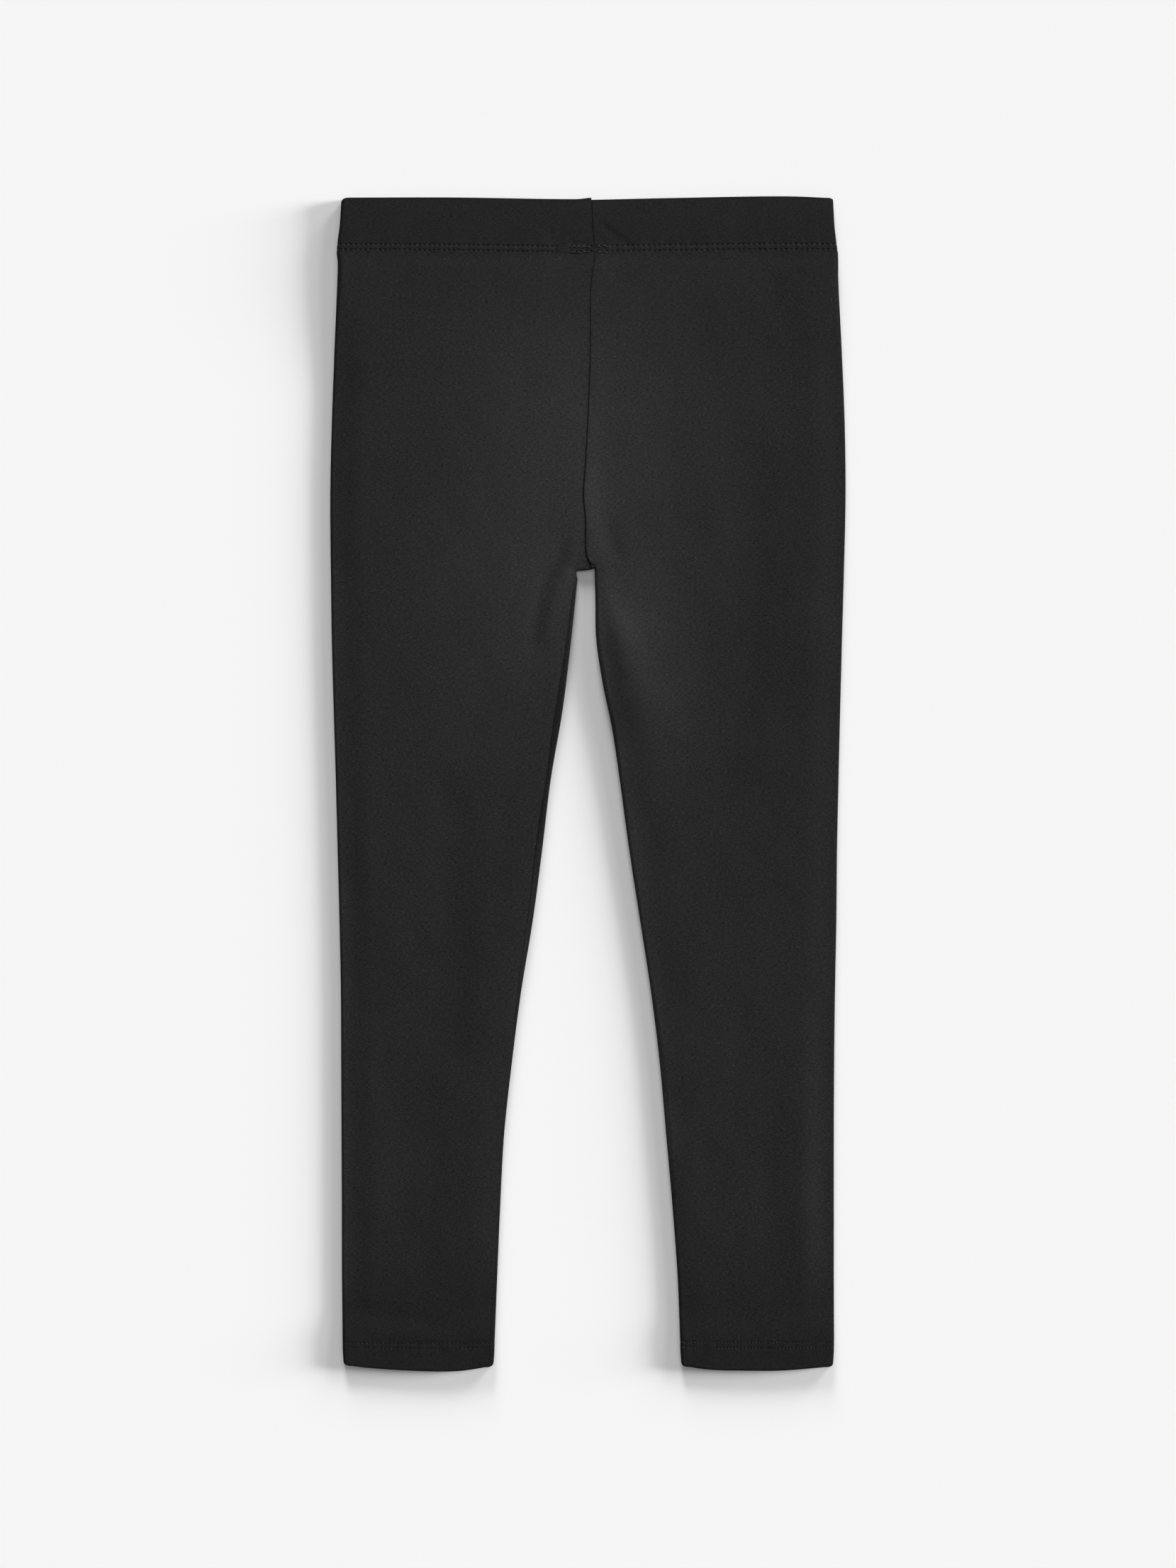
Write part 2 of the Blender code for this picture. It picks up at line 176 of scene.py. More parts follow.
# %% Soft lines, and how they add up
Soft = namedtuple("Soft", "width height path")
FADE_OVER = 0.16  # share of a line's length over which each end dies out


def soft_lines(*rows):
    """Soft lines from rows of a width, a height and the points of the line."""
    return [Soft(width, height, path) for width, height, *path in rows]


def from_path(x, y, path):
    """Distance in plan from points to a path, and how far along it, from 0 to 1, they are."""
    nearest, along = np.full(np.shape(x), np.inf), np.zeros(np.shape(x))
    for k, ((x0, y0), (x1, y1)) in enumerate(zip(path, path[1:])):
        step_x, step_y = x1 - x0, y1 - y0
        share = ((x - x0) * step_x + (y - y0) * step_y) / (step_x**2 + step_y**2)
        share = np.clip(share, 0, 1)
        distance = np.hypot(x - x0 - share * step_x, y - y0 - share * step_y)
        along = np.where(distance < nearest, (k + share) / (len(path) - 1), along)
        nearest = np.minimum(nearest, distance)
    return nearest, along


def add_up(x, y, lines, base=0.0, at_ends=1.0):
    """The sum of soft lines over a base. at_ends is the share of its height that a line has at its ends."""
    total = np.full(np.shape(x), base)
    for soft in lines:
        distance, along = from_path(x, y, soft.path)
        fade = mix(at_ends, 1.0, ease(np.minimum(along, 1 - along) / FADE_OVER))
        total += soft.height * fade * bell(distance, soft.width)
    return total


# %% Height of the cloth over the table
BODY_HEIGHT, FOLD_HEIGHT, BAND_HEIGHT, HEM_HEIGHT = 4.3, 3.5, 6.2, 5.2
BAND_SLOPE, HEM_SLOPE = 90.0, 22.0  # how far from the waistband and the hems the cloth comes down
SOFT_FOLDS = soft_lines(
    (20, 0.7, (17, 112), (21, 95), (30, 50), (38, 2)),  # the right thigh's roll
    (20, 1.3, (24, 84), (30, 52)),  # its fullest stretch
    (16, -0.5, (96, 190), (92, 40)),
    (18, 0.4, (-44, 130), (-52, 20)),  # the left thigh's flatter roll
    (7, -0.4, (-20, 122), (-27, 102), (-31, 84)), (13, -0.5, (-82, -10), (-80, -160)),
    (14, 0.5, (126, -150), (132, -280)), (6, -0.4, (-132, -318), (-92, -321)),
)


def raised(flat_height, y):
    """A leg's height, brought up to the waistband's and the hem's where it joins them."""
    near_band = ease((y - float(curve(BAND_EDGE, 0)) + BAND_SLOPE) / BAND_SLOPE)
    near_hem = ease((HEM_LINE + HEM_SLOPE - y) / HEM_SLOPE)
    return mix(mix(flat_height, BAND_HEIGHT, near_band), HEM_HEIGHT, near_hem)


def outer_fold_height(y):
    return raised(FOLD_HEIGHT, y)


def inner_fold_height(cut, y):
    return raised(curve(cut.fold, y), y)


def body_height(x, y):
    return raised(add_up(x, y, SOFT_FOLDS, BODY_HEIGHT), y)


# %% Creases on top and underneath
TOP_CREASES = soft_lines(
    # waistband: a slanting crease and a short one right of the centre, pinches where the rows end
    (2.2, -0.16, (7, 334.4), (12, 330.2), (19, 325.2), (25.5, 320.6)),
    (2.2, -0.12, (30.5, 340.6), (37.5, 336.8)), (2, -0.12, (-23, 331), (-22, 321.5)),
    (2, -0.10, (-15.5, 332), (-17, 321.5)), (1, -0.22, (-12, 322), (1.5, 321.4)),
    (0.6, -0.12, (-30, 321.4), (-30.1, 318.6)),
    # legs just under the waistband
    (2.6, -0.14, (-99, 314), (-82, 313), (-62, 313.2)),
    (2.6, -0.12, (55, 311.6), (70, 311), (86, 312.3)), (2.6, -0.08, (104, 312), (138, 311.5)),
    # left thigh, beside the crotch
    (3, -0.18, (-12.5, 146), (-16.5, 136), (-21, 127)),
    (2.8, 0.18, (-8.5, 143), (-10.5, 133), (-16, 121)),
    (3.4, -0.26, (-23.5, 128), (-29, 110), (-33, 86)),
    (3.2, 0.26, (-16, 120), (-22, 104), (-26.5, 82)),
    # right thigh, beside the crotch
    (3.6, -0.24, (10, 154), (14.5, 143), (18, 132)),
    (6, 0.22, (4, 128), (8, 114), (15, 97), (21, 78), (24, 56)),
    (9, -0.30, (15, 132), (20, 114), (28, 96), (36, 76), (40, 50)), (8, -0.15, (70, 120), (72, 30)),
    # lower legs
    (10, -0.14, (-104, -60), (-96, -180), (-90, -250)), (9, 0.12, (-122, -200), (-128, -300)),
    (8, 0.10, (-64, -60), (-70, -190)), (11, -0.12, (84, -70), (92, -180)),
    (7, -0.12, (106, -212), (110, -300)), (5, -0.22, (-128, -322.5), (-108, -320), (-90, -322.5)),
    (6, -0.16, (70, -322), (100, -319)),
    (1.4, -0.24, (-74, -336), (-69, -336.8)),  # a pinch in the left hem
)
UNDER_CREASES = soft_lines(
    (12, 0.45, (-92, 240), (-70, 150), (-66, 60)), (10, 0.40, (96, 250), (84, 160), (88, 40)),
    (6, 0.42, (12, 168), (22, 128), (33, 76)), (5, 0.36, (-12, 158), (-20, 122), (-32, 82)),
    (3.2, 0.34, (8, 146), (15, 124)), (11, 0.38, (-96, -20), (-88, -170)),
    (10, 0.36, (100, -40), (92, -210)), (8, 0.30, (-112, -190), (-118, -300)),
    (7, 0.28, (118, -200), (112, -305)), (2.4, 0.32, (-120, 313), (-84, 312.4)),
    (2.2, 0.28, (40, 312.6), (76, 311.8)), (1.6, 0.40, (-30, 338), (-18, 326)),
    (1.5, 0.30, (52, 340), (59, 330)), (5, 0.24, (-120, -321), (-86, -323)),
    (5, 0.24, (78, -322.5), (120, -320.5)),
)
CREASE_ENDS = 0.25


def creases(x, y, lines):
    return add_up(x, y, lines, at_ends=CREASE_ENDS)


print(len(TOP_CREASES), "creases on top,", len(UNDER_CREASES), "underneath")

# %% Slow, uneven waves in the jersey
WAVES = 14
FULL_TURN = 2 * math.pi
wave_dice = np.random.RandomState(31)
wave_length = np.geomspace(11.0, 95.0, WAVES)
wave_angle = wave_dice.uniform(0.0, math.pi, WAVES)
wave_start = wave_dice.uniform(0.0, FULL_TURN, WAVES)
WAVE_SLOPE = 0.0035  # how steep each wave gets


def waves(x, y):
    height = np.zeros(np.shape(x))
    for length, angle, start in zip(wave_length, wave_angle, wave_start):
        turn = FULL_TURN * (x * math.cos(angle) + y * math.sin(angle)) / length
        height += WAVE_SLOPE * length / FULL_TURN * np.sin(turn + start)
    return height


# %% Where the cloth is painted paler or darker: painted light and shade, and wear
# On top this paints light and shade: a pool of painted light round the hips and crotch, painted highlights
# along ridges and fold edges, painted shade in the creases, and darker towards the hems. Underneath it gives
# paler patches.
TOP_WEAR_AND_PAINTED_LIGHT = soft_lines(  # width, how much paler from painted light and wear, path
    (70, 0.48, (-4, 232), (-2, 140)), (34, 0.12, (-14, 190), (-12, 150)),
    (1.8, -0.22, (8.5, 334.6), (13.5, 330.6), (20.5, 325.4), (25.5, 321.6)),
    (0.6, -0.50, (-18.7, 321.2), (-18.8, 316.4)), (4, 0.13, (3.5, 186), (4, 160), (8, 142)),
    (3.6, -0.30, (-13.5, 142), (-16, 131), (-23, 120)),
    (4, -0.20, (-26, 114), (-29, 98), (-31, 86)), (5, -0.14, (17, 158), (22, 138)),
    (6, 0.18, (7, 132), (10, 118), (18, 104), (28, 88)), (32, 0.20, (30, 96), (44, 30)),
    (16, -0.06, (94, 120), (92, 10)), (36, 0.17, (-64, 125), (-62, 30)),
    (9, 0.16, (-150, 120), (-149, -60)), (9, 0.24, (-149, -70), (-147, -300)),
    (7, 0.26, (20, 20), (30, -40), (44, -180), (49, -215)), (5, 0.24, (-17, 10), (-24, -40)),
    (1.5, 0.45, (5, 90), (19, 2), (37.6, -124), (47, -209), (55, -330)),
    (3, -0.24, (-2, 112), (-6.5, 84)), (22, -0.05, (130, 290), (131, -40)),
    (60, 0.06, (-80, 250), (80, 250)), (24, -0.08, (-92, -100), (-90, -290)),
    (46, -0.30, (-150, -336), (150, -336)),
)
UNDER_WEAR = soft_lines(
    (62, 0.22, (-50, 210), (-40, 150)), (62, 0.20, (52, 215), (44, 150)),
    (26, 0.12, (-24, 110), (-40, 10)), (26, 0.12, (28, 110), (42, 10)),
)
# counts the rows of both tables of painted light, painted shade and wear
print(len(TOP_WEAR_AND_PAINTED_LIGHT) + len(UNDER_WEAR), "places of painted light, shade and wear")

# %% [markdown]
# ## A wall of cloth
# Each piece is a tube that has been pressed flat. A rib is one trip round it: over the top from
# the inner edge to the outer one, round the outer fold, back underneath, and round the inner fold
# where the tube is closed. Ribs beside each other give a grid of points. The same grid moved in
# along its normals is the inside of the cloth, and strips along the open edges join the two. So
# each piece is a closed wall, and its own grid is a ready-made flat pattern for the knit.

# %% The roll of the cloth over a fold
FOLD_STEPS = 8
FOLD_FULLNESS = 4.2  # 2 is a round fold, and more turns it faster


def fold_shape(angle):
    """How far out and up a fold of radius 1 is at an angle from its top, and its normal."""
    out, up = np.abs(np.sin(angle)), np.abs(np.cos(angle))
    power = 2 * (FOLD_FULLNESS - 1) / FOLD_FULLNESS
    face_out, face_up = out**power, up**power
    size = np.hypot(face_out, face_up)
    upward = np.sign(np.cos(angle))
    share = 2 / FOLD_FULLNESS
    return out**share, upward * up**share, face_out / size, upward * face_up / size


def folded_edge(above, below, facing_x, facing_y):
    """Points and normals round a fold, from above to below, without its two ends."""
    points, normals = [], []
    middle = (above[..., 2] + below[..., 2]) / 2
    radius = (above[..., 2] - below[..., 2]) / 2
    for k in range(1, FOLD_STEPS):
        out, up, face_out, face_up = fold_shape(math.pi * k / FOLD_STEPS)
        points.append(np.stack([
            above[..., 0] + facing_x * radius * out,
            above[..., 1] + facing_y * radius * out,
            middle + radius * up,
        ], -1))
        normals.append(np.stack([facing_x * face_out, facing_y * face_out, radius * 0 + face_up], -1))
    return np.stack(points, 1), np.stack(normals, 1)


def round_trip(top, under, side, turn):
    """Points and normals of ribs, from their two flat runs. turn is the way their inner folds face."""
    level = np.zeros(len(top))
    outer, outer_normals = folded_edge(top[:, -1], under[:, 0], level + side, level)
    angle = np.radians(turn)
    inner, inner_normals = folded_edge(top[:, 0], under[:, -1], -side * np.cos(angle), -np.sin(angle))
    points = [top, outer, under, inner[:, ::-1]]
    normals = [top * 0 + (0, 0, 1), outer_normals, under * 0 + (0, 0, -1), inner_normals[:, ::-1]]
    return np.concatenate(points, 1), np.concatenate(normals, 1)


def closed_ring(points):
    return np.concatenate([points, points[:, :1]], 1)


def around(points):
    """Millimetres round each rib from its first point, with one more column where it closes."""
    steps = np.linalg.norm(np.diff(closed_ring(points), axis=1), axis=2)
    return np.concatenate([np.zeros((len(points), 1)), np.cumsum(steps, 1)], 1)


# %% A piece from points and faces, and the values that its material reads
PATTERN = "cloth"  # millimetres across and along the cut piece
WEAR_AND_LIGHT_ATTRIBUTE = "wear_and_painted_light"  # how much paler the cloth is painted, from painted light and wear; below 0, painted shade
ISLAND_MARGIN = 0.01


def put_in_scene(name, data):
    thing = bpy.data.objects.new(name, data)
    bpy.context.collection.objects.link(thing)
    return thing


def make_piece(name, points, faces, material):
    mesh = bpy.data.meshes.new(name)
    mesh.from_pydata((points * METRES).tolist(), [], faces)
    mesh.shade_smooth()
    mesh.materials.append(material)
    return put_in_scene(name, mesh)


def keep_on_mesh(mesh, name, kind, domain, values):
    field = "vector" if kind == "FLOAT_VECTOR" else "value"
    mesh.attributes.new(name, kind, domain).data.foreach_set(field, values.astype(np.float32).ravel())


def lay_out(mesh, flats, layers):
    """Keeps the flat pattern for the knit, and as a UV map with the inside beside the outside."""
    whole = np.concatenate([flats, layers[:, None, None] * np.ones((1, 4, 1))], -1)
    keep_on_mesh(mesh, PATTERN, "FLOAT_VECTOR", "CORNER", whole)
    low, high = flats.min((0, 1)), flats.max((0, 1))
    square = (flats - low) / (high - low)
    wide = int(high[0] - low[0] > high[1] - low[1])  # stack long pieces, and set tall ones side by side
    square[..., wide] = (square[..., wide] + layers[:, None]) / 2
    square = ISLAND_MARGIN + square * (1 - 2 * ISLAND_MARGIN)
    mesh.uv_layers.new(name="OFBake").data.foreach_set("uv", square.astype(np.float32).ravel())


# %% Painted shade where the cloth turns away, and inside it
TURN_SHADE, TURN_SOON = 0.80, 0.3  # how much painted shade at a fold, and how soon it comes in
LEFT_FACING_SHARE = 0.25  # the share of that painted shade on folds that face left, away from the low lights; folds that face right, towards them, get all of it
INSIDE_SHADE = -0.5  # painted shade: the inside is darker all over, so the rims of the open edges are dark
SHOWS = -0.2  # a point whose normal rises more than this takes the top's table of wear and painted light


# Painted shade on a fold, growing as its normal turns away from upright.
def painted_fold_shade(normals):
    steep = np.sqrt(np.clip(1 - normals[..., 2] ** 2, 0, 1))
    return TURN_SHADE * mix(LEFT_FACING_SHARE, 1.0, ease(normals[..., 0] + 0.5)) * (1 - np.exp(-steep / TURN_SOON))


# Painted light and wear from the tables, times painted shade from the seams and the folds, as one factor less
# 1.
def painted_light_and_wear_of(points, normals, darker):
    x, y = points[..., 0], points[..., 1]
    wear_and_painted_light = np.where(normals[..., 2] > SHOWS, add_up(x, y, TOP_WEAR_AND_PAINTED_LIGHT), add_up(x, y, UNDER_WEAR))
    return (1 + wear_and_painted_light) * (1 - np.maximum(darker, painted_fold_shade(normals))) - 1


# %% The faces of a wall
def wall_faces(pattern, wall, open_from, open_count):
    """Faces of a wall, their flat pattern, and whether each is outside, 0, or inside, 1."""
    rows, columns = len(pattern), pattern.shape[1] - 1
    count = rows * columns
    grid = np.arange(count).reshape(rows, columns)
    places = np.dstack([pattern, closed_ring(grid)])  # across, along and number of each point
    quads, layers = [], []

    def add(corners, layer=0):
        quads.append(np.stack([corner.reshape(-1, 3) for corner in corners], 1))
        layers.append(np.full(len(quads[-1]), layer))

    first_open = max(open_from - 1, 0)
    closed, opened = places[:open_from], places[first_open:, :open_count]
    for part in (closed, opened):
        if len(part) > 1:
            low, high = part[:-1], part[1:]
            ring = [low[:, :-1], low[:, 1:], high[:, 1:], high[:, :-1]]
            add(ring)
            add([corner + (0, 0, count) for corner in ring[::-1]], 1)

    def rim(edge, out, flip=False):
        """Joins the outside to the inside along an open edge, which faces out on the pattern."""
        inside = edge + (out[0] * wall, out[1] * wall, count)
        quad = [edge[:-1], edge[1:], inside[1:], inside[:-1]]
        add(quad[::-1] if flip else quad)

    rim(closed[0] if open_from > 0 else opened[0], (0, -1), True)
    rim(closed[-1] if open_from >= rows else opened[-1], (0, 1))
    if 0 < open_from < rows:
        rim(closed[-1, open_count - 1:], (0, 1))
    if open_from < rows:
        rim(opened[:, 0], (-1, 0))
        rim(opened[:, -1], (1, 0), True)
    quads = np.concatenate(quads)
    return quads[..., 2].astype(int), quads[..., :2], np.concatenate(layers)


# %% Ribs into a wall
PLACE_ON_ROLL = {-1: (0.0, 0.0), 1: (613.0, 87.0)}  # each half is cut from another place of the jersey
SHARP_ANGLE = math.radians(62)


def cloth_wall(
    name, points, normals, wall, side, material, lift, darker, inset=0.0, open_from=None, open_count=None
):
    """A closed wall of cloth through ribs. Ribs from open_from on are open and have open_count points."""
    rows, columns = points.shape[:2]
    lift = lift[..., None]
    inset = np.reshape(inset, (-1, 1, 1))
    skins = [points + normals * (lift - inset), points + normals * (lift - wall + inset)]

    # The flat pattern: distance from the outer fold across, and y along
    across = around(points)
    across = across - across[:, [FOLD_STEPS // 2 + np.argmax(normals[0, :, 2] < 0.5) - 1]]
    pattern = np.stack([across, closed_ring(points)[..., 1]], -1)
    corners, flats, layers = wall_faces(
        pattern, wall, rows if open_from is None else open_from, columns if open_count is None else open_count
    )
    if side < 0:
        corners, flats = corners[:, ::-1], flats[:, ::-1]
    used, corners = np.unique(corners, return_inverse=True)
    corners = corners.reshape(-1, 4)
    piece = make_piece(name, np.stack(skins).reshape(-1, 3)[used], corners.tolist(), material)
    lay_out(piece.data, flats + PLACE_ON_ROLL[side], layers)
    # Painted light, painted shade and wear, kept for the dye group; the inside is painted darker.
    wear_and_painted_light = painted_light_and_wear_of(points, normals, darker).ravel()
    wear_and_painted_light = np.concatenate([wear_and_painted_light, np.full_like(wear_and_painted_light, INSIDE_SHADE)])[used]
    keep_on_mesh(piece.data, WEAR_AND_LIGHT_ATTRIBUTE, "FLOAT", "POINT", wear_and_painted_light)
    piece.data.set_sharp_from_angle(angle=SHARP_ANGLE)
    print(name, len(used), "points,", 2 * len(corners), "triangles")
    return piece


# %% [markdown]
# ## The knit
# Jersey is knitted from one yarn in rows of loops. From the front you see columns of small Vs,
# here about 0.6 mm wide. From where a person stands the loops melt together, and what stays is
# the unevenness of the yarn: short lighter and darker dashes along the rows, with a few upright
# ones. Both are one shader node group, because the legs, the waistband and the hems all use it.
# It reads the flat pattern, so the knit follows each piece round its folds as real cloth does.

# %% A few helpers for shader nodes
def put(tree, kind, **settings):
    node = tree.nodes.new("ShaderNode" + kind)
    for key, value in settings.items():
        setattr(node, key, value)
    return node


def feed(tree, sockets, values):
    """Links sockets to other nodes' outputs, or gives them plain values."""
    for key, value in values.items():
        if isinstance(value, bpy.types.NodeSocket):
            tree.links.new(value, sockets[key])
        else:
            sockets[key].default_value = value


def calc(tree, operation, *values):
    node = put(tree, "Math", operation=operation)
    feed(tree, node.inputs, dict(enumerate(values)))
    return node.outputs[0]


def vector(tree, operation, values):
    node = put(tree, "VectorMath", operation=operation)
    feed(tree, node.inputs, values)
    return node.outputs[0]


def kept(tree, name):
    """The outputs of a node that reads a value kept on the mesh."""
    return put(tree, "Attribute", attribute_name=name).outputs


def noise(tree, place, detail, roughness=0.5):
    """Soft noise around 0."""
    node = put(tree, "TexNoise")
    feed(tree, node.inputs, {"Vector": place, "Scale": 1.0, "Detail": detail, "Roughness": roughness})
    return calc(tree, "SUBTRACT", node.outputs["Fac"], 0.5)


def bump(tree, height, strength, distance):
    node = put(tree, "Bump")
    feed(tree, node.inputs, {"Height": height, "Strength": strength, "Distance": distance * METRES})
    return node.outputs[0]


def group(name, inputs, outputs):
    """An empty node group with named float inputs, given with their usual values, and outputs."""
    tree = bpy.data.node_groups.new(name, "ShaderNodeTree")
    for key, value in inputs.items():
        tree.interface.new_socket(key, in_out="INPUT", socket_type="NodeSocketFloat").default_value = value
    for key in outputs:
        tree.interface.new_socket(key, in_out="OUTPUT", socket_type="NodeSocketFloat")
    return tree, tree.nodes.new("NodeGroupInput").outputs, tree.nodes.new("NodeGroupOutput").inputs


def new_material(name):
    """A material, its node tree, and the sockets of its main shader."""
    material = bpy.data.materials.new(name)
    material.use_nodes = True
    return material, material.node_tree, material.node_tree.nodes["Principled BSDF"].inputs


# %% The knit as a node group
V_SLANT = 1.7
DASHES = (  # width and height of the yarn's light and dark dashes, their detail, and their weight
    (1.9, 0.5, 2.0, 1.0),
    (0.55, 2.2, 2.0, 0.6),
    (0.45, 0.4, 1.0, 0.5),
)
PATCHES, PATCH_STRENGTH = (3.4, 3.0, 1.0), 5.0  # patches where the dashes are fainter or stronger
FAINTEST, STRONGEST = 0.7, 1.25
DARKEST_YARN = 0.55  # loose fibres lighten the darkest dips
NOISE_GAIN = 4.0  # brings noise up to about -1 to 1
LAYERS_APART = 7.0  # the outside and the inside of the cloth get different yarn


def knit_group():
    inputs = {"Wale": 0.62, "Course": 0.47, "Yarn unevenness": 0.2}
    tree, given, result = group("jersey knit", inputs, ("Loops", "Yarn"))
    place = kept(tree, PATTERN)["Vector"]
    flat = put(tree, "SeparateXYZ")
    feed(tree, flat.inputs, {0: place})
    across = calc(tree, "DIVIDE", flat.outputs["X"], given["Wale"])
    along = calc(tree, "DIVIDE", flat.outputs["Y"], given["Course"])

    def hump(share):
        """1 in the middle of a range from -1 to 1, and 0 at its ends."""
        return calc(tree, "SUBTRACT", 1.0, calc(tree, "MULTIPLY", share, share))

    # Distance from the middle of the wale, 0 to 0.5, with one leg of the V at 0.25
    from_middle = calc(tree, "ABSOLUTE", calc(tree, "SUBTRACT", calc(tree, "FRACT", across), 0.5))
    leg_of_v = hump(calc(tree, "MULTIPLY_ADD", from_middle, 4.0, -1.0))
    # The legs slant, so the loop's phase moves with the distance from the middle
    phase = calc(tree, "FRACT", calc(tree, "MULTIPLY_ADD", from_middle, V_SLANT, along))
    loop = hump(calc(tree, "MULTIPLY_ADD", phase, 2.0, -1.0))
    loops = calc(tree, "SQRT", calc(tree, "MULTIPLY", leg_of_v, loop))

    def dashes(wide, high, detail):
        stretched = vector(tree, "MULTIPLY", {0: place, 1: (1 / wide, 1 / high, LAYERS_APART)})
        return noise(tree, stretched, detail)

    yarn = 0.0
    for *shape, weight in DASHES:
        yarn = calc(tree, "MULTIPLY_ADD", dashes(*shape), weight, yarn)
    patches = calc(tree, "MULTIPLY_ADD", dashes(*PATCHES), PATCH_STRENGTH, 1.0)
    patches = calc(tree, "MINIMUM", calc(tree, "MAXIMUM", patches, FAINTEST), STRONGEST)
    yarn = calc(tree, "MULTIPLY", calc(tree, "MULTIPLY", yarn, patches), given["Yarn unevenness"])
    uneven = calc(tree, "MULTIPLY_ADD", yarn, NOISE_GAIN, 1.0)
    feed(tree, result, {"Loops": loops, "Yarn": calc(tree, "MAXIMUM", uneven, DARKEST_YARN)})
    return tree


knit = knit_group()
print(knit.name, "has", len(knit.nodes), "nodes")

# %% [markdown]
# ## Dye, and painted light and shade
# Black cotton is never quite even. Big soft patches take the dye a little differently. The group
# multiplies that with the values kept on the mesh: painted shade along the folds, seams, holes and
# creases, painted light on the hips and ridges, and paler patches underneath. This gives one factor
# near 1 for the colour.

# %% The dye, and the painted light and shade, as a node group
def dye_and_shade_group():
    tree, given, result = group("dye and painted shade", {"Patch size": 40.0, "Strength": 0.1}, ("Shade",))
    scale = calc(tree, "DIVIDE", 1.0, given["Patch size"])
    place = vector(tree, "SCALE", {0: kept(tree, PATTERN)["Vector"], "Scale": scale})
    patches = calc(tree, "MULTIPLY", noise(tree, place, 3.0, 0.55), given["Strength"])
    uneven = calc(tree, "MULTIPLY_ADD", patches, NOISE_GAIN, 1.0)
    # The painted light, painted shade and wear kept on the mesh
    wear_and_painted_light = calc(tree, "ADD", kept(tree, WEAR_AND_LIGHT_ATTRIBUTE)["Fac"], 1.0)
    feed(tree, result, {"Shade": calc(tree, "MULTIPLY", uneven, wear_and_painted_light)})
    return tree


dye = dye_and_shade_group()
print(dye.name, "has", len(dye.nodes), "nodes")


# %% Jersey
def jersey(name, grey, wale, course, unevenness, patch, strength):
    """Dark cotton jersey: matt, with the soft bloom that loose fibres give at a low angle."""
    material, tree, shader = new_material(name)
    loops = put(tree, "Group", node_tree=knit)
    feed(tree, loops.inputs, {"Wale": wale, "Course": course, "Yarn unevenness": unevenness})
    # This group also brings in the painted light, painted shade and wear kept on the mesh
    patches = put(tree, "Group", node_tree=dye)
    feed(tree, patches.inputs, {"Patch size": patch, "Strength": strength})
    shade = calc(tree, "MULTIPLY", loops.outputs["Yarn"], patches.outputs["Shade"])
    height = calc(tree, "MULTIPLY_ADD", loops.outputs["Yarn"], 0.5, loops.outputs["Loops"])
    feed(tree, shader, {
        "Base Color": vector(tree, "SCALE", {0: (grey, grey, grey), "Scale": shade}),
        "Roughness": calc(tree, "MULTIPLY_ADD", loops.outputs["Loops"], -0.08, 0.9),
        "Specular IOR Level": 0.06,
        "Sheen Weight": 0.006,
        "Sheen Roughness": 0.5,
        "Normal": bump(tree, height, 0.35, 0.12),
    })
    print(name, "reflects about", round(100 * grey, 1), "% of the light")
    return material


leg_jersey = jersey("leg_jersey", 0.0154, wale=0.62, course=0.47, unevenness=0.55, patch=42.0, strength=0.07)
band_jersey = jersey("band_jersey", 0.0131, wale=0.6, course=0.46, unevenness=0.46, patch=24.0, strength=0.08)
hem_jersey = jersey("hem_jersey", 0.0155, wale=0.62, course=0.47, unevenness=0.46, patch=20.0, strength=0.07)

# %% [markdown]
# ## Legs
# The ribs of a leg start at the hem. Below the crotch they are closed, and above it they end at
# the centre seams. Points crowd together near the seams and folds, where the cloth turns quickly.
# Along a seam the two layers are pulled down into a narrow valley. Its allowances inside lift the
# cloth beside it. So a seam shows as a thin dark line with a soft swelling next to it, and painted
# shade makes that line darker still.

# %% Where the ribs of a leg run
LOW_ROWS = ((-316, 1.0), (60, 2.35))  # up to which y, and how far apart
THIGH_SPACING = 1.2
HIP_ROWS = ((185, 1.15), (298, 2.1))
BAND_SPACING = 0.9
STEP_SPLIT = 4  # ribs from one corner of the crotch's step to the next
FORK_RISE = (1.6, 2.5)  # from a leg's last closed rib to its first open one, inside and outside


def levels_up(start, *stretches):
    """Levels from a start through stretches, each given by its end and spacing."""
    levels = [start]
    for end, spacing in stretches:
        count = max(int(round(abs(end - levels[-1]) / spacing)), 1)
        levels += list(np.linspace(levels[-1], end, count + 1)[1:])
    return np.array(levels, float)


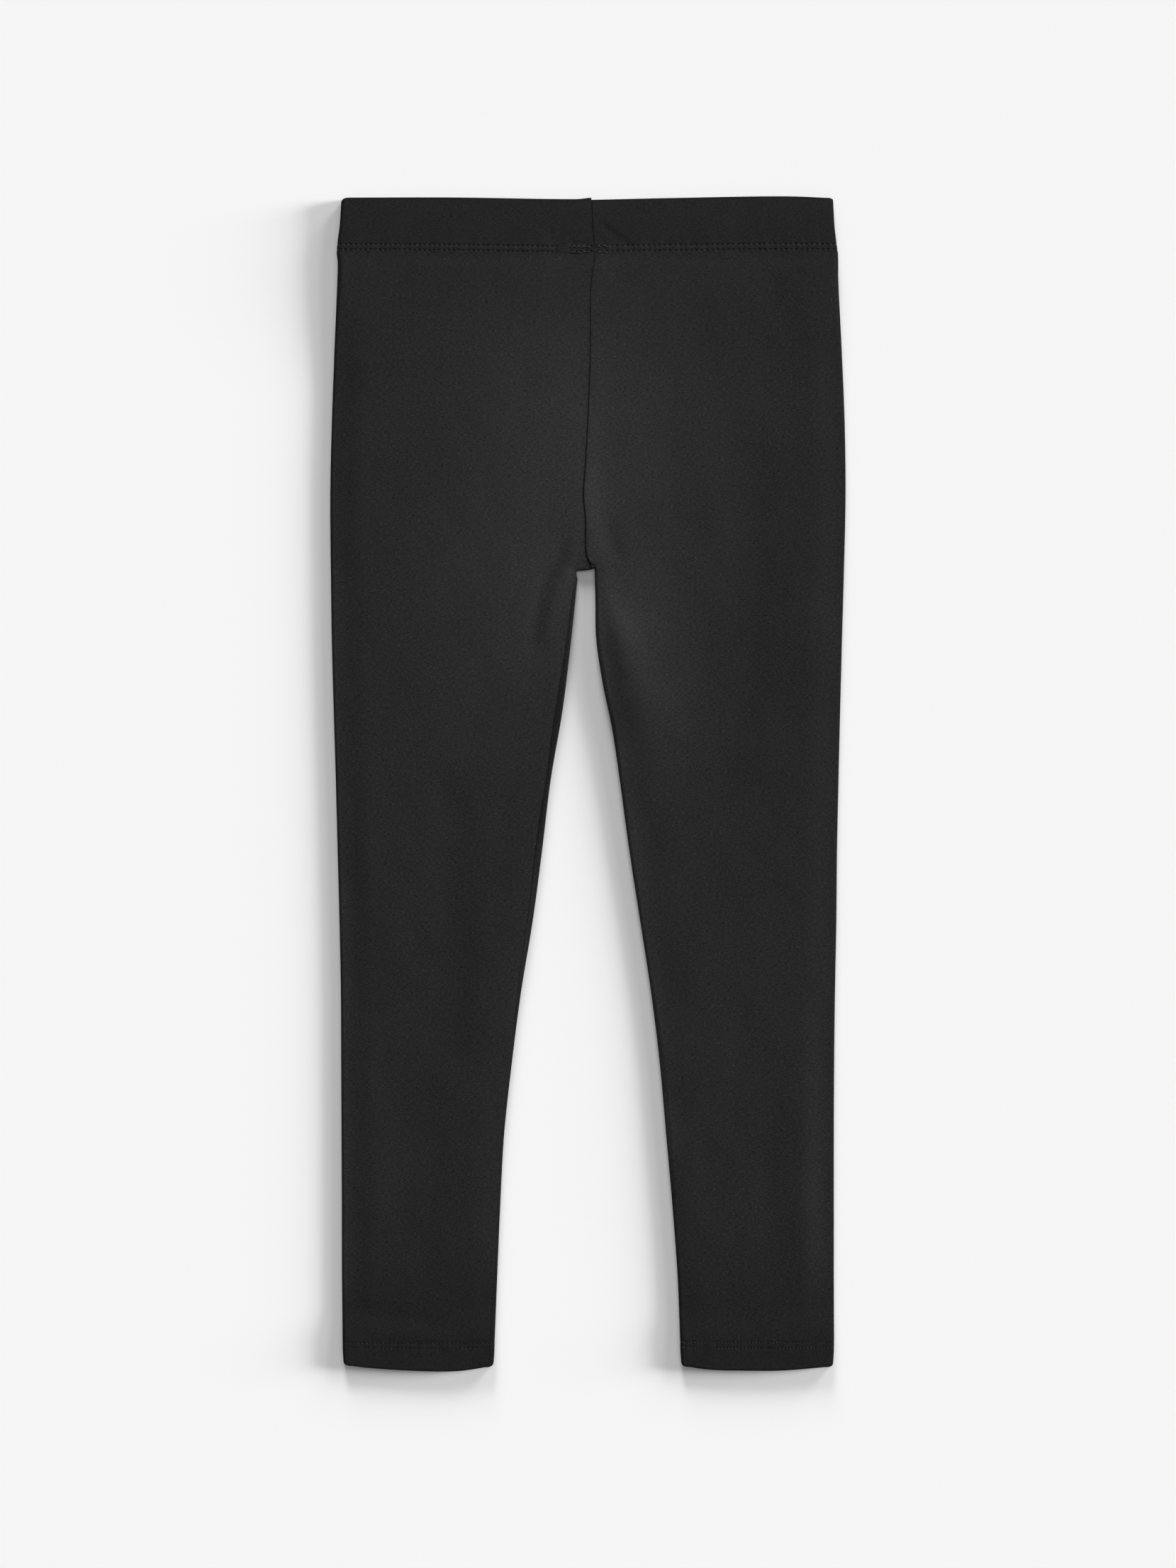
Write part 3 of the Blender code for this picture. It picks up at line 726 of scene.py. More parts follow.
def leg_ribs(cut):
    """Rows of x, y and turn at the inner edge, x and y at the outer one, and share of the hip."""
    top_y = cut.rows[-1].y
    outer = [(row.y, row.outer) for row in cut.rows] + [p for p in cut.hip if p[0] > top_y]

    def rib(x, y, turn, outer_y, share):
        outer_x = curve(outer, outer_y) - cut.side * outer_fold_height(outer_y) / 2
        return np.stack(np.broadcast_arrays(x, y, turn, outer_x, outer_y, share), -1)

    y = levels_up(HEM_LINE, *LOW_ROWS, (top_y, THIGH_SPACING))
    x = curve([(row.y, row.inner) for row in cut.rows], y)
    corners = np.array([(cut.rows[-1].inner, top_y, 0, top_y), *cut.step])
    t = np.arange(1, STEP_SPLIT * len(cut.step) + 1) / STEP_SPLIT
    step = np.stack([curve(list(enumerate(column)), t) for column in corners.T])
    x, y, turn, outer_y = np.concatenate([np.stack([x, y, y * 0, y]), step], 1)
    radius = inner_fold_height(cut, y) / 2
    angle = np.radians(turn)
    closed = rib(x + cut.side * np.cos(angle) * radius, y + np.sin(angle) * radius, turn, outer_y, 0.0)

    bottom = (CROTCH[1] + FORK_RISE[0], cut.step[-1].outer_y + FORK_RISE[1])
    top = (float(curve(BAND_EDGE, 0)), float(curve(BAND_EDGE, cut.hip[-1][1])))
    share = (levels_up(bottom[0], *HIP_ROWS, (top[0], BAND_SPACING)) - bottom[0]) / (top[0] - bottom[0])
    inner_y, outer_y = mix(bottom[0], top[0], share), mix(bottom[1], top[1], share)
    opened = rib(curve(CENTRE_SEAM, inner_y) + cut.side * SEAM_GAP / 2, inner_y, 0.0, outer_y, share)
    return np.concatenate([closed, opened]), len(closed), top


# %% Where the points lie along the ribs
NEAR_SEAM = (0.0, 0.16, 0.30, 0.37, 0.44, 0.52, 0.68)  # millimetres out from the seam or inner fold
NEAR_INSEAM = (-0.52, -0.34, -0.22, -0.10, 0.10, 0.22, 0.34, 0.52)  # and from the inseam's line
PAST_INSEAM = (4.0, 5.3, 7.2)
INSEAM_RANGE = (1.35, 2.9)  # where those columns can go
NEAR_FOLD = (7.0, 4.5, 2.6, 1.2, 0.4, 0.0)
NEAR_SEAM_UNDER = (0.0, 0.16, 0.30, 0.37, 0.44, 0.52, 0.9, 1.7, 2.8, 4.6)
TOP_STEPS, UNDER_STEPS = 50, 22
SPREAD = 45.0  # how far from the crotch's step the points are back in line
ROUNDING = 0.01


def spread_out(ribs, cut, top, near, steps):
    """x and y of points along the ribs, from the inner to the outer edge."""
    inner_x, inner_y, _, outer_x, outer_y, share = ribs.T[..., None]
    below_step = (ribs[:, 5] == 0) & (ribs[:, 1] <= cut.rows[-1].y + ROUNDING)
    last = int(np.sum(below_step)) - 1
    plain_x = ribs[:, 0].copy()  # the inner edge without the crotch's step
    rise = ease((ribs[last + 1:, 1] - ribs[last, 1]) / SPREAD)
    plain_x[last + 1:] = mix(ribs[last, 0], curve(CENTRE_SEAM, ribs[last + 1:, 1]), rise)
    plain_x = plain_x[:, None]
    length = np.abs(outer_x - plain_x)
    start, end = near / length, 1 - np.array(NEAR_FOLD) / length
    even = np.linspace(0, 1, steps + 2)[1:-1]
    f = np.concatenate([start, mix(start[:, -1:], end[:, :1], even), end], 1)
    x = mix(plain_x, outer_x, f) + (inner_x - plain_x) * (1 - ease(f * length / SPREAD))
    straight = (x - inner_x) / (outer_x - inner_x)
    y = mix(inner_y, outer_y, straight) + share * (curve(BAND_EDGE, x) - mix(top[0], top[1], straight))
    return x, y


# %% The valley of a seam, and the swelling beside it
VALLEY_WIDTH, VALLEY_STEEPNESS = 0.36, 6
VALLEY_DEPTH = ((130, 0.45), (170, 0.34), (215, 0.18), (270, 0.08), (316, 0.05))  # as (y, depth)
SWELL_RISE = 34.0  # how far above the crotch the swelling is full
SWELL_WIDTH = {-1: 34.0, 1: 7.5}  # the left side stays high, and the right side falls away
SWELL_TOP, SWELL_OVER, SWELL_LOW, SWELL_HIGH = 215.0, 50.0, 0.2, 0.75
PUCKER_SIZE, PUCKER_REACH = 0.05, 3.2
TURNED_STEP, TURNED_PLACE, TURNED_WIDTH = 0.05, 3.0, 2.2  # the band's turned edge, felt from outside


def drifting(along, pitch, sway, drift, start=0.0):
    """A wave from -1 to 1 whose pitch drifts along a seam."""
    return np.sin(along / pitch + sway * np.sin(along / drift) + start)


def unsteady(along, amount=0.2):
    """A factor near 1 that changes along a seam, because no stitch pulls quite like the next."""
    return 1 + amount * drifting(along, 0.9, 2, 6.1) * np.sin(along / 3.7 + 1)


def seam_puckers(along, distance):
    """Fine gathers that the sewing leaves beside a seam."""
    ripple = drifting(along, 1.15, 1.4, 7.3) + 0.6 * np.sin(along / 0.71 + 2)
    return PUCKER_SIZE * ripple * bell(distance, PUCKER_REACH)


def gathers(along, off, size, reach, **wave):
    """Low folds along a row of stitches, up to a reach off it. wave is their pitch, sway and drift."""
    return size * drifting(along, **wave) * bell(off, reach)


def valley(distance, width):
    """A groove 1 deep, with a flat bottom and steep walls."""
    return -np.exp(-((distance / width) ** VALLEY_STEEPNESS))


def centre_valley(x, y, side):
    """Height beside the centre seams: the allowances swell the cloth, and the thread pulls it down."""
    distance = np.abs(x - curve(CENTRE_SEAM, y))
    strength = mix(SWELL_LOW, SWELL_HIGH, ease((SWELL_TOP - y) / SWELL_OVER))
    strength = strength * ease((y - CROTCH[1]) / SWELL_RISE)
    swell = strength * bell(distance, SWELL_WIDTH[side])
    return swell + seam_puckers(y, distance) + curve(VALLEY_DEPTH, y) * valley(distance, VALLEY_WIDTH)


def under_stitching(x, below):
    """The turned edge inside the waistband ends just under its stitching, in a low step."""
    step = TURNED_STEP + 0.03 * np.sin(x / 9 + 1) + 0.02 * np.sin(x / 3.7)
    folds = gathers(x, below, size=0.045, reach=6.0, pitch=1.25, sway=2.2, drift=8.1)
    return folds - step * bell(below - TURNED_PLACE, TURNED_WIDTH)


# %% The layer of a leg that shows, and the one underneath
FOLD_EASE, INNER_EASE = 18.0, 15.0  # how far in from the outer and the inner fold the cloth is level
FREE_TOP, FREE_UNDER = 5.0, 6.0  # how far in from the folds the creases are full


def leg_top(cut, ribs, top, opened, edge, inseam):
    line = np.clip(inseam, *INSEAM_RANGE)
    near = np.concatenate([line * 0 + NEAR_SEAM, line + NEAR_INSEAM, line * 0 + PAST_INSEAM], 1)
    x, y = spread_out(ribs, cut, top, near, TOP_STEPS)
    full, inner_low = body_height(x, y), inner_fold_height(cut, y)
    from_outer = np.hypot(x - x[:, -1:], y - y[:, -1:])
    from_inner = np.maximum(from_path(x, y, edge)[0] - inner_low / 2, 0)
    z = mix(outer_fold_height(y), full, ease(from_outer / FOLD_EASE))
    z += (inner_low - full) * np.clip(1 - from_inner / INNER_EASE, 0, 1) ** 2
    free = ease(np.minimum(from_outer, from_inner) / FREE_TOP)
    z += free * (creases(x, y, TOP_CREASES) + waves(x, y))
    z += np.where(opened, centre_valley(x, y, cut.side), 0)
    z += under_stitching(x, curve(BAND_EDGE, x) - y)
    return np.stack([x, y, z], -1)


def leg_under(cut, ribs, top, opened):
    x, y = spread_out(ribs, cut, top, np.array(NEAR_SEAM_UNDER), UNDER_STEPS)
    from_outer = np.hypot(x - x[:, -1:], y - y[:, -1:])
    from_inner = np.where(opened, np.inf, np.abs(x - x[:, :1]))
    z = creases(x, y, UNDER_CREASES) * ease(np.minimum(from_outer, from_inner) / FREE_UNDER)
    z -= np.where(opened, valley(x - curve(CENTRE_SEAM, y), VALLEY_WIDTH), 0)
    return np.stack([x, y, z], -1)[:, ::-1]


# %% What the seams of a leg do to the cloth, and painted shade along seams and folds
SHADE_WIDTH = 0.72
VALLEY_SHADE = ((130, 0.66), (200, 0.60), (260, 0.52), (316, 0.46))  # how much darker, as (y, share)
INSEAM_WIDTH, INSEAM_DEPTH, INSEAM_UNSTEADY = 0.30, 0.10, 0.3
INSEAM_SHADE = {  # how much darker, as (y, share)
    -1: ((-340, 0.24), (-250, 0.22), (-100, 0.30), (-40, 0.55), (20, 0.50), (122, 0.40)),
    1: ((-340, 0.22), (-120, 0.22), (-80, 0.08), (122, 0.08)),
}
SEWN_BELOW, SEWN_OVER = 2.0, 6.0  # how far under the crotch the inseam starts, and how soon it is full
LIP_HEIGHT, LIP_PLACE, LIP_WIDTH = 0.02, 1.1, 0.7  # the low lip beside the inseam
PUCKER_SHARE, PUCKER_END = 0.5, 40.0  # the inseam's puckers, and how far in from the fold they can be
KNOT = (2.6, 129.8)  # where the four seams meet; the cloth is painted darker in a round spot there
KNOT_SIZE, KNOT_SHADE = 1.7, 0.8
EDGE_SHADE, EDGE_WIDTH, EDGE_START, EDGE_OVER = 0.72, 0.9, 98.0, 14.0  # the fold beside the crotch
STRIP_SHADE = 0.5  # the strip between the inseam and its fold, on the thighs
STRIP_START, STRIP_OVER = -70.0, 60.0  # the y where it comes in, and how soon it is full
STRIP_SIDES = ((-0.3, 0.5), (-8.0, 2.0))  # its edges at the inseam and underneath, and how soft they are


def seam_shades(cut, points, distance, inseam, level, opened, edge):
    """How far the seams lift the cloth, and how much painted shade darkens the seams and folds."""
    x, y, _ = np.moveaxis(points, -1, 0)
    from_seam = distance - inseam
    sewn = ease((CROTCH[1] - SEWN_BELOW - level) / SEWN_OVER) * (1 - opened)
    shade = sewn * curve(INSEAM_SHADE[cut.side], level) * unsteady(level, INSEAM_UNSTEADY)
    lip = LIP_HEIGHT * bell(from_seam - LIP_PLACE, LIP_WIDTH)
    puckers = PUCKER_SHARE * seam_puckers(y, from_seam) * (distance < PUCKER_END)
    lift = sewn * (lip + puckers) + INSEAM_DEPTH * shade * valley(from_seam, INSEAM_WIDTH)

    centre = bell(x - curve(CENTRE_SEAM, y), SHADE_WIDTH) * opened * curve(VALLEY_SHADE, y) * unsteady(y)
    line = -shade * valley(from_seam, 1.5 * INSEAM_WIDTH)
    knot = KNOT_SHADE * bell(np.hypot(x - KNOT[0], y - KNOT[1]), KNOT_SIZE)
    outline = bell(from_path(x, y, edge)[0], EDGE_WIDTH) * ease((y - EDGE_START) / EDGE_OVER) * (1 - opened)
    (end, end_over), (start, start_over) = STRIP_SIDES
    strip = (1 - ease((from_seam - end) / end_over)) * ease((distance - start) / start_over)
    strip = strip * ease((level - STRIP_START) / STRIP_OVER)
    return lift, np.max([centre, line, knot, EDGE_SHADE * outline, sewn * STRIP_SHADE * strip], 0)


# %% Legs
LEG_WALL = 1.0


def leg(name, cut, material):
    ribs, closed_count, top = leg_ribs(cut)
    opened = (np.arange(len(ribs)) >= closed_count)[:, None]
    edge = [(row.inner, row.y) for row in cut.rows] + [(c.x, c.y) for c in cut.step] + [CROTCH]
    inseam = (curve(cut.inseam, ribs[:, 1]) - inner_fold_height(cut, ribs[:, 1]) / 2)[:, None]
    top_run = leg_top(cut, ribs, top, opened, edge, inseam)
    points, normals = round_trip(top_run, leg_under(cut, ribs, top, opened), cut.side, ribs[:, 2])
    open_count = points.shape[1] - FOLD_STEPS + 1
    # The inseam runs along the inner edge: distances over the inner fold count back from it
    distance = around(points)
    over_fold = np.arange(points.shape[1]) >= open_count
    distance = distance[:, :-1] - over_fold * distance[:, -1:]
    lift, darker = seam_shades(cut, points, distance, inseam, ribs[:, 1:2], opened, edge)
    return cloth_wall(
        name, points, normals, LEG_WALL, cut.side, material, lift, darker,
        open_from=closed_count, open_count=open_count,
    )


leg_left = leg("leg_left_cloth", LEFT, leg_jersey)
leg_right = leg("leg_right_cloth", RIGHT, leg_jersey)

# %% [markdown]
# ## Waistband and hems
# The waistband is turned over an elastic and held by two rows of coverstitch. The hems are turned
# up once and sewn the same way. The needle pulls the cloth down at every stitch, so the columns
# of the grid are placed by the stitches: one on each needle hole, and a few between. The rows
# don't meet at the centre of the waistband. One ends, and after a short gap the other starts,
# sewn twice to lock it.

# %% Needle holes
STITCH_ROWS = (1.4, 4.65)  # distance of the band's two rows from its lower edge
HEM_ROWS = {-1: (1.9, 4.95), 1: (1.0, 4.75)}  # distance of a hem's two rows from its upper edge
UNEVEN_PITCH = 0.05
BETWEEN_HOLES = (0.0, 0.13, 0.30, 0.5, 0.70, 0.87)
HOLE_WIDTH, HOLE_SHADE, HOLE_UNSTEADY = 0.46, 0.44, 0.45
ROW_PULL, ROW_WIDTH = 0.4, 0.6  # the shallow channel along a row, as a share of a hole's depth
ROWS_MIDDLE = 3.5


def hole_places(first, end, pitch, seed):
    """Distances round a piece at which the needle went in, each a little off the even pitch."""
    dice = np.random.RandomState(seed)
    places = np.arange(first % pitch, end, pitch)
    return places + dice.uniform(-UNEVEN_PITCH, UNEVEN_PITCH, len(places)) * pitch


def columns_at(holes, end):
    """Columns of a grid on the holes and between them, from 0 to the end."""
    starts = np.concatenate([[0], holes, [end]])
    steps = np.outer(np.diff(starts), BETWEEN_HOLES) + starts[:-1, None]
    return np.unique(np.round(np.append(steps.ravel(), end), 4))


def in_hole(distance, off, holes):
    """1 in the middle of a needle hole, for a distance along its row and one off it."""
    k = np.clip(np.searchsorted(holes, distance), 1, len(holes) - 1)
    nearest = np.minimum(np.abs(distance - holes[k - 1]), np.abs(distance - holes[k]))
    return bell(np.hypot(nearest, off), HOLE_WIDTH)


def needle_marks(distance, across, holes, rows, depth):
    """How far the cloth is pulled in by rows of stitches, and how much darker it is in the holes."""
    pull, dark = 0.0, 0.0
    for row in rows:
        hole = in_hole(distance, across - row, holes)
        pull = pull - depth * (ROW_PULL * bell(across - row, ROW_WIDTH) + hole)
        dark = dark + HOLE_SHADE * hole
    return pull, dark * unsteady(distance, HOLE_UNSTEADY)


# %% Points on a flattened tube
EDGE_ROUNDING = 0.94  # 1 is a full half circle over the thickness of the cloth
TOP_FROM, TOP_OVER = -0.2, 0.6  # how far up a normal points where the cloth starts to be on top
UNDER_LOW = 0.05  # how much the underside is drawn in


def rounded_end(below, corner):
    """How far a rounded corner pulls an edge in, at a depth below the corner's end."""
    short = np.maximum(corner - below, 0)
    return corner - np.sqrt(corner * corner - short * short)


def fold_length(height):
    return math.pi * height / 2


def on_tube(distance, share, flat, height, side, ends, edges, closed=False):
    """Points and normals on a flattened tube, at distances round it and shares of its depth.

    flat is the length of its flat part, ends are the x of that part's ends, and edges its two
    edges. A closed tube folds back up at the end.
    """
    bend = fold_length(height)
    f = np.where(distance < flat + bend / 2, distance / flat, (2 * flat + bend - distance) / flat)
    x = mix(*ends, np.clip(f, 0, 1))
    y = mix(curve(edges[0], x), curve(edges[1], x), share)
    turn = np.clip((distance - flat) / bend, 0, 1)
    back = np.clip((distance - 2 * flat - bend) / bend, 0, 1) * closed
    facing = np.where(back > 0, -side, side)
    out, up, face_out, face_up = fold_shape(math.pi * np.where(back > 0, 1 - back, turn))
    radius = height / 2
    points = np.stack([x + facing * out * radius, y, radius + up * radius], -1)
    return points, np.stack([facing * face_out, out * 0, face_up], -1)


def tube_relief(points, normals, waviness, sewn):
    """Creases, waves and gathers of a band or hem, and where its cloth is on top."""
    x, y = points[..., 0], points[..., 1]
    on_top = ease((normals[..., 2] - TOP_FROM) / TOP_OVER)
    relief = on_top * (creases(x, y, TOP_CREASES) + waviness * waves(x, y) + sewn)
    return relief - (1 - on_top) * (creases(x, y, UNDER_CREASES) + UNDER_LOW), on_top


# %% A point on the waistband
BAND_MIDDLE, SEWN_LEVEL = 75.0, 320.0


def band_depth(cut):
    return float(curve(cut.waist, 0) - curve(BAND_EDGE, 0))


def band_length(cut):
    """From the centre seam to the start of the outer fold, at the stitching."""
    return abs(float(curve(cut.hip, SEWN_LEVEL) - curve(CENTRE_SEAM, SEWN_LEVEL))) - BAND_HEIGHT / 2


def band_point(cut, distance, share):
    """A point on the band: distance round it from the centre seam, and share of its depth."""
    below = band_depth(cut) * share
    level = float(curve(cut.waist, cut.side * BAND_MIDDLE)) - below
    inner_x = curve(CENTRE_SEAM, level) + cut.side * SEAM_GAP / 2
    outer_x = curve(cut.hip, level) - cut.side * (rounded_end(below, cut.band_corner) + BAND_HEIGHT / 2)
    edges = (cut.waist, BAND_EDGE)
    return on_tube(distance, share, band_length(cut), BAND_HEIGHT, cut.side, (inner_x, outer_x), edges)


# %% Waistband
BAND_WALL, BAND_PULL, BAND_WAVES = 2.4, 0.26, 0.7
LOW_BAND = (  # rows of the grid from the band's lower edge up
    0.0, 0.45, 0.8, 1.05, 1.25, 1.4, 1.55, 1.75, 2.1, 2.6, 3.2, 3.8, 4.25, 4.5, 4.65, 4.8, 5.05, 5.5, 6.2,
)
HIGH_BAND = (0.0, 0.03, 0.09, 0.2, 0.36, 0.56, 0.8, 1.05, 1.3, 1.9, 2.8)  # and from its upper edge down
BAND_ROWS = 18
GAP = (-18.7, -11.4)  # x of the stretch at the centre with no stitching on top
LOCKED = (-11.4, 11.3)  # x of the stretch that is sewn twice
GAP_SHARE, GAP_EASE = 0.1, 1.2  # what is left of the needle's pull there, and how soon
FIRST_RIGHT = 1.1  # from the centre seam to the right half's first hole
BESIDE_JOIN = np.array((0.12, 0.2, 0.27, 0.34, 0.46))
JOIN_WIDTH, JOIN_DEPTH, JOIN_SHADE = 0.30, 0.12, 0.5  # the seam between the band's halves
JOIN_CLEAR, JOIN_OVER, JOIN_LEFT = 5.5, 2.0, 0.25  # faint under the stitches, and clear above them
PUFF, PUFF_START, PUFF_END = 0.22, 6.0, 1.0  # how far the elastic rounds the band out, and where
BAND_LOW, EDGE_LOW, EDGE_REACH = 0.2, 0.08, 0.8  # how much lower the top and its lower edge lie
TOP_SHADE, TOP_SHADE_WIDTH = 0.9, 0.95  # the band's upper edge turns away


def band(name, cut, material):
    end = 2 * band_length(cut) + fold_length(BAND_HEIGHT)
    first = abs(GAP[0] - float(curve(CENTRE_SEAM, SEWN_LEVEL))) if cut.side < 0 else FIRST_RIGHT
    holes = hole_places(first, end, cut.band_pitch, 5 + cut.side)
    columns = np.unique(np.concatenate([columns_at(holes, end), BESIDE_JOIN, end - BESIDE_JOIN]))
    depth = band_depth(cut)
    low, high = depth - np.array(LOW_BAND), np.array(HIGH_BAND)
    middle = np.linspace(high[-1], low[-1], BAND_ROWS)[1:-1]
    below = np.concatenate([low, middle[::-1], high[::-1]])[:, None]
    across = depth - below
    distance = columns[None, :] * np.ones_like(below)
    points, normals = band_point(cut, distance, below / depth)

    puffed = np.clip((across - PUFF_START) / (depth - PUFF_START - PUFF_END), 0, 1)
    sewn = gathers(distance, across - ROWS_MIDDLE, size=0.05, reach=6.0, pitch=1.4, sway=2.0, drift=9.0)
    sewn += PUFF * np.sin(math.pi * puffed) - BAND_LOW
    relief, on_top = tube_relief(points, normals, BAND_WAVES, sewn)
    x = points[..., 0]
    in_gap = ease((x - GAP[0]) / GAP_EASE + 0.5) * ease((GAP[1] - x) / GAP_EASE + 0.5) * (on_top > 0.5)
    marks, holes_dark = needle_marks(distance, across, holes, STITCH_ROWS, BAND_PULL)
    from_join = np.minimum(distance, end - distance)
    joined = mix(JOIN_LEFT, 1.0, ease((across - JOIN_CLEAR) / JOIN_OVER))
    pulled = mix(1, GAP_SHARE, in_gap)
    lift = marks * pulled + relief
    lift += JOIN_DEPTH * joined * valley(from_join, JOIN_WIDTH) - EDGE_LOW * bell(across, EDGE_REACH) * on_top
    darker = np.max([
        JOIN_SHADE * joined * unsteady(points[..., 1]) * bell(from_join, SHADE_WIDTH),
        holes_dark * (pulled > 0.5),
        TOP_SHADE * bell(below, TOP_SHADE_WIDTH) * np.ones_like(distance),
    ], 0)
    inset = EDGE_ROUNDING * rounded_end(below, BAND_WALL / 2)
    return cloth_wall(name, points, normals, BAND_WALL, cut.side, material, lift, darker, inset, 0), holes


band_left, left_holes = band("waistband_left_cloth", LEFT, band_jersey)
band_right, right_holes = band("waistband_right_cloth", RIGHT, band_jersey)


# %% A point on a hem
HEM_MIDDLE, HEM_CORNER, HEM_TAPER = 90.0, 2.4, 0.8
HEM_TOP = ((-150, HEM_LINE), (150, HEM_LINE))


def hem_sizes(cut):
    """Length of the flat part, length all the way round, and depth."""
    flat = abs(cut.rows[0].outer - cut.rows[0].inner) - HEM_HEIGHT
    return flat, 2 * (flat + fold_length(HEM_HEIGHT)), HEM_LINE - float(curve(cut.hem, cut.side * HEM_MIDDLE))


def hem_point(cut, distance, share):
    """A point on a hem: distance from its inner fold's end, and share of its depth."""
    flat, _, depth = hem_sizes(cut)
    pulled_in = rounded_end(depth * (1 - share), HEM_CORNER) + HEM_HEIGHT / 2 + HEM_TAPER * share**2
    ends = (cut.rows[0].inner + cut.side * pulled_in, cut.rows[0].outer - cut.side * pulled_in)
    return on_tube(distance, share, flat, HEM_HEIGHT, cut.side, ends, (HEM_TOP, cut.hem), closed=True)


# %% Hems
HEM_WALL, HEM_PULL, HEM_WAVES = 2.0, 0.10, 0.5
NEAR_ROW = np.array((-0.8, -0.4, -0.16, 0.0, 0.16, 0.4, 0.8))  # rows of the grid beside a row of stitches
HEM_END = np.array((2.6, 1.6, 1.1, 0.85, 0.6, 0.4, 0.22, 0.1, 0.03, 0.0))  # and near the lower edge
HEM_STEPS, PAST_ROWS = 8, 2.0
FIRST_HOLE = 0.9
HEM_HOLES, END_SHADE, END_WIDTH = 0.7, 0.4, 0.8  # shade of the holes, and of the edge that turns away


def hem(name, cut, material):
    _, end, depth = hem_sizes(cut)
    holes = hole_places(FIRST_HOLE, end, cut.hem_pitch, 11 + cut.side)
    columns = columns_at(holes, end)[:-1]
    rows = HEM_ROWS[cut.side]
    between, past = sum(rows) / 2, rows[1] + PAST_ROWS
    upper = np.concatenate([[0], rows[0] + NEAR_ROW, [between], rows[1] + NEAR_ROW, [past]])
    lower = depth - HEM_END
    middle = np.linspace(upper[-1], lower[0], HEM_STEPS)[1:-1]
    across = np.concatenate([upper, middle, lower])[::-1, None]
    distance = columns[None, :] * np.ones_like(across)
    points, normals = hem_point(cut, distance, across / depth)

    sewn = gathers(distance, across - ROWS_MIDDLE, size=0.04, reach=5.0, pitch=1.2, sway=2.0, drift=7.0)
    relief, _ = tube_relief(points, normals, HEM_WAVES, sewn)
    marks, holes_dark = needle_marks(distance, across, holes, rows, HEM_PULL)
    y = points[..., 1]
    from_inseam = distance + outer_fold_height(HEM_LINE) / 2 - curve(cut.inseam, y)
    groove = curve(INSEAM_SHADE[cut.side], HEM_LINE) * unsteady(y, INSEAM_UNSTEADY)
    groove = groove * valley(from_inseam, INSEAM_WIDTH)
    turned = END_SHADE * bell(depth - across, END_WIDTH) * np.ones_like(distance)
    darker = np.max([-groove, HEM_HOLES * holes_dark, turned], 0)
    inset = EDGE_ROUNDING * rounded_end(depth - across, HEM_WALL / 2)
    lift = marks + relief + INSEAM_DEPTH * groove
    return cloth_wall(name, points, normals, HEM_WALL, cut.side, material, lift, darker, inset), holes


hem_left, hem_left_holes = hem("hem_left_cloth", LEFT, hem_jersey)
hem_right, hem_right_holes = hem("hem_right_cloth", RIGHT, hem_jersey)

# %% [markdown]
# ## Thread
# Coverstitch shows two rows of short straight stitches on the right side. Each stitch comes up
# out of one needle hole, lies on the cloth and goes down into the next. The thread is smoother
# than the cloth, so each stitch catches a speck of light. Every stitch is a thin tube, bent down
# at both ends, and a row of them is one mesh.

# %% Thread material
DARK_THREAD, PALE_THREAD = (0.010, 0.010, 0.010, 1.0), (0.018, 0.018, 0.018, 1.0)


def thread_material():
    material, tree, shader = new_material("sewing_thread")
    ply = put(tree, "TexWave", bands_direction="DIAGONAL")
    feed(tree, ply.inputs, {"Vector": kept(tree, PATTERN)["Vector"], "Scale": 1.6})
    tone = put(tree, "MixRGB")
    feed(tree, tone.inputs, {"Fac": ply.outputs["Fac"], "Color1": DARK_THREAD, "Color2": PALE_THREAD})
    feed(tree, shader, {
        "Base Color": tone.outputs[0],
        "Roughness": 0.55,
        "Specular IOR Level": 0.25,
        "Normal": bump(tree, ply.outputs["Fac"], 0.5, 0.05),
    })
    return material


thread = thread_material()

# %% One stitch
THREAD_RADIUS, THREAD_SIDES, THREAD_SPREAD = 0.16, 6, 1.15  # a little wider than high
STITCH_SHAPE = np.array((  # share of the way to the next hole, height of the thread's middle
    (0.14, -0.62), (0.22, -0.38), (0.32, -0.14), (0.44, 0.02),
    (0.56, 0.02), (0.68, -0.14), (0.78, -0.38), (0.86, -0.62),
)).T
STITCH_MIDDLE = len(STITCH_SHAPE[0]) // 2
ROUND_THREAD = FULL_TURN * np.arange(THREAD_SIDES) / THREAD_SIDES


def unit(vectors):
    return vectors / np.linalg.norm(vectors, axis=1, keepdims=True)


def thread_rings(points, normals, radius):
    """Rings of points round a thread that runs through points."""
    tangent = unit(np.gradient(points, axis=0))
    across = unit(np.cross(tangent, normals))
    upward = np.cross(across, tangent)
    wide = across[:, None] * np.cos(ROUND_THREAD)[:, None] * THREAD_SPREAD
    return points[:, None] + radius * (wide + upward[:, None] * np.sin(ROUND_THREAD)[:, None])


# %% Rows of stitches
ASIDE, SLANT = 0.16, 0.25  # how far a stitch can be off its row, and aslant
SINKING = 0.08  # how much the threads sink in and rise along a row
UNEVEN_DEPTH = (-0.06, 0.09)  # deeper or less deep, from stitch to stitch
UNEVEN_BEND, UNEVEN_THREAD = (0.85, 1.15), (0.9, 1.12)  # factors on a stitch's bend and radius
ON_TOP, FATTER, LOOSER = 0.26, 1.4, 2.0  # how much, where a row is sewn twice


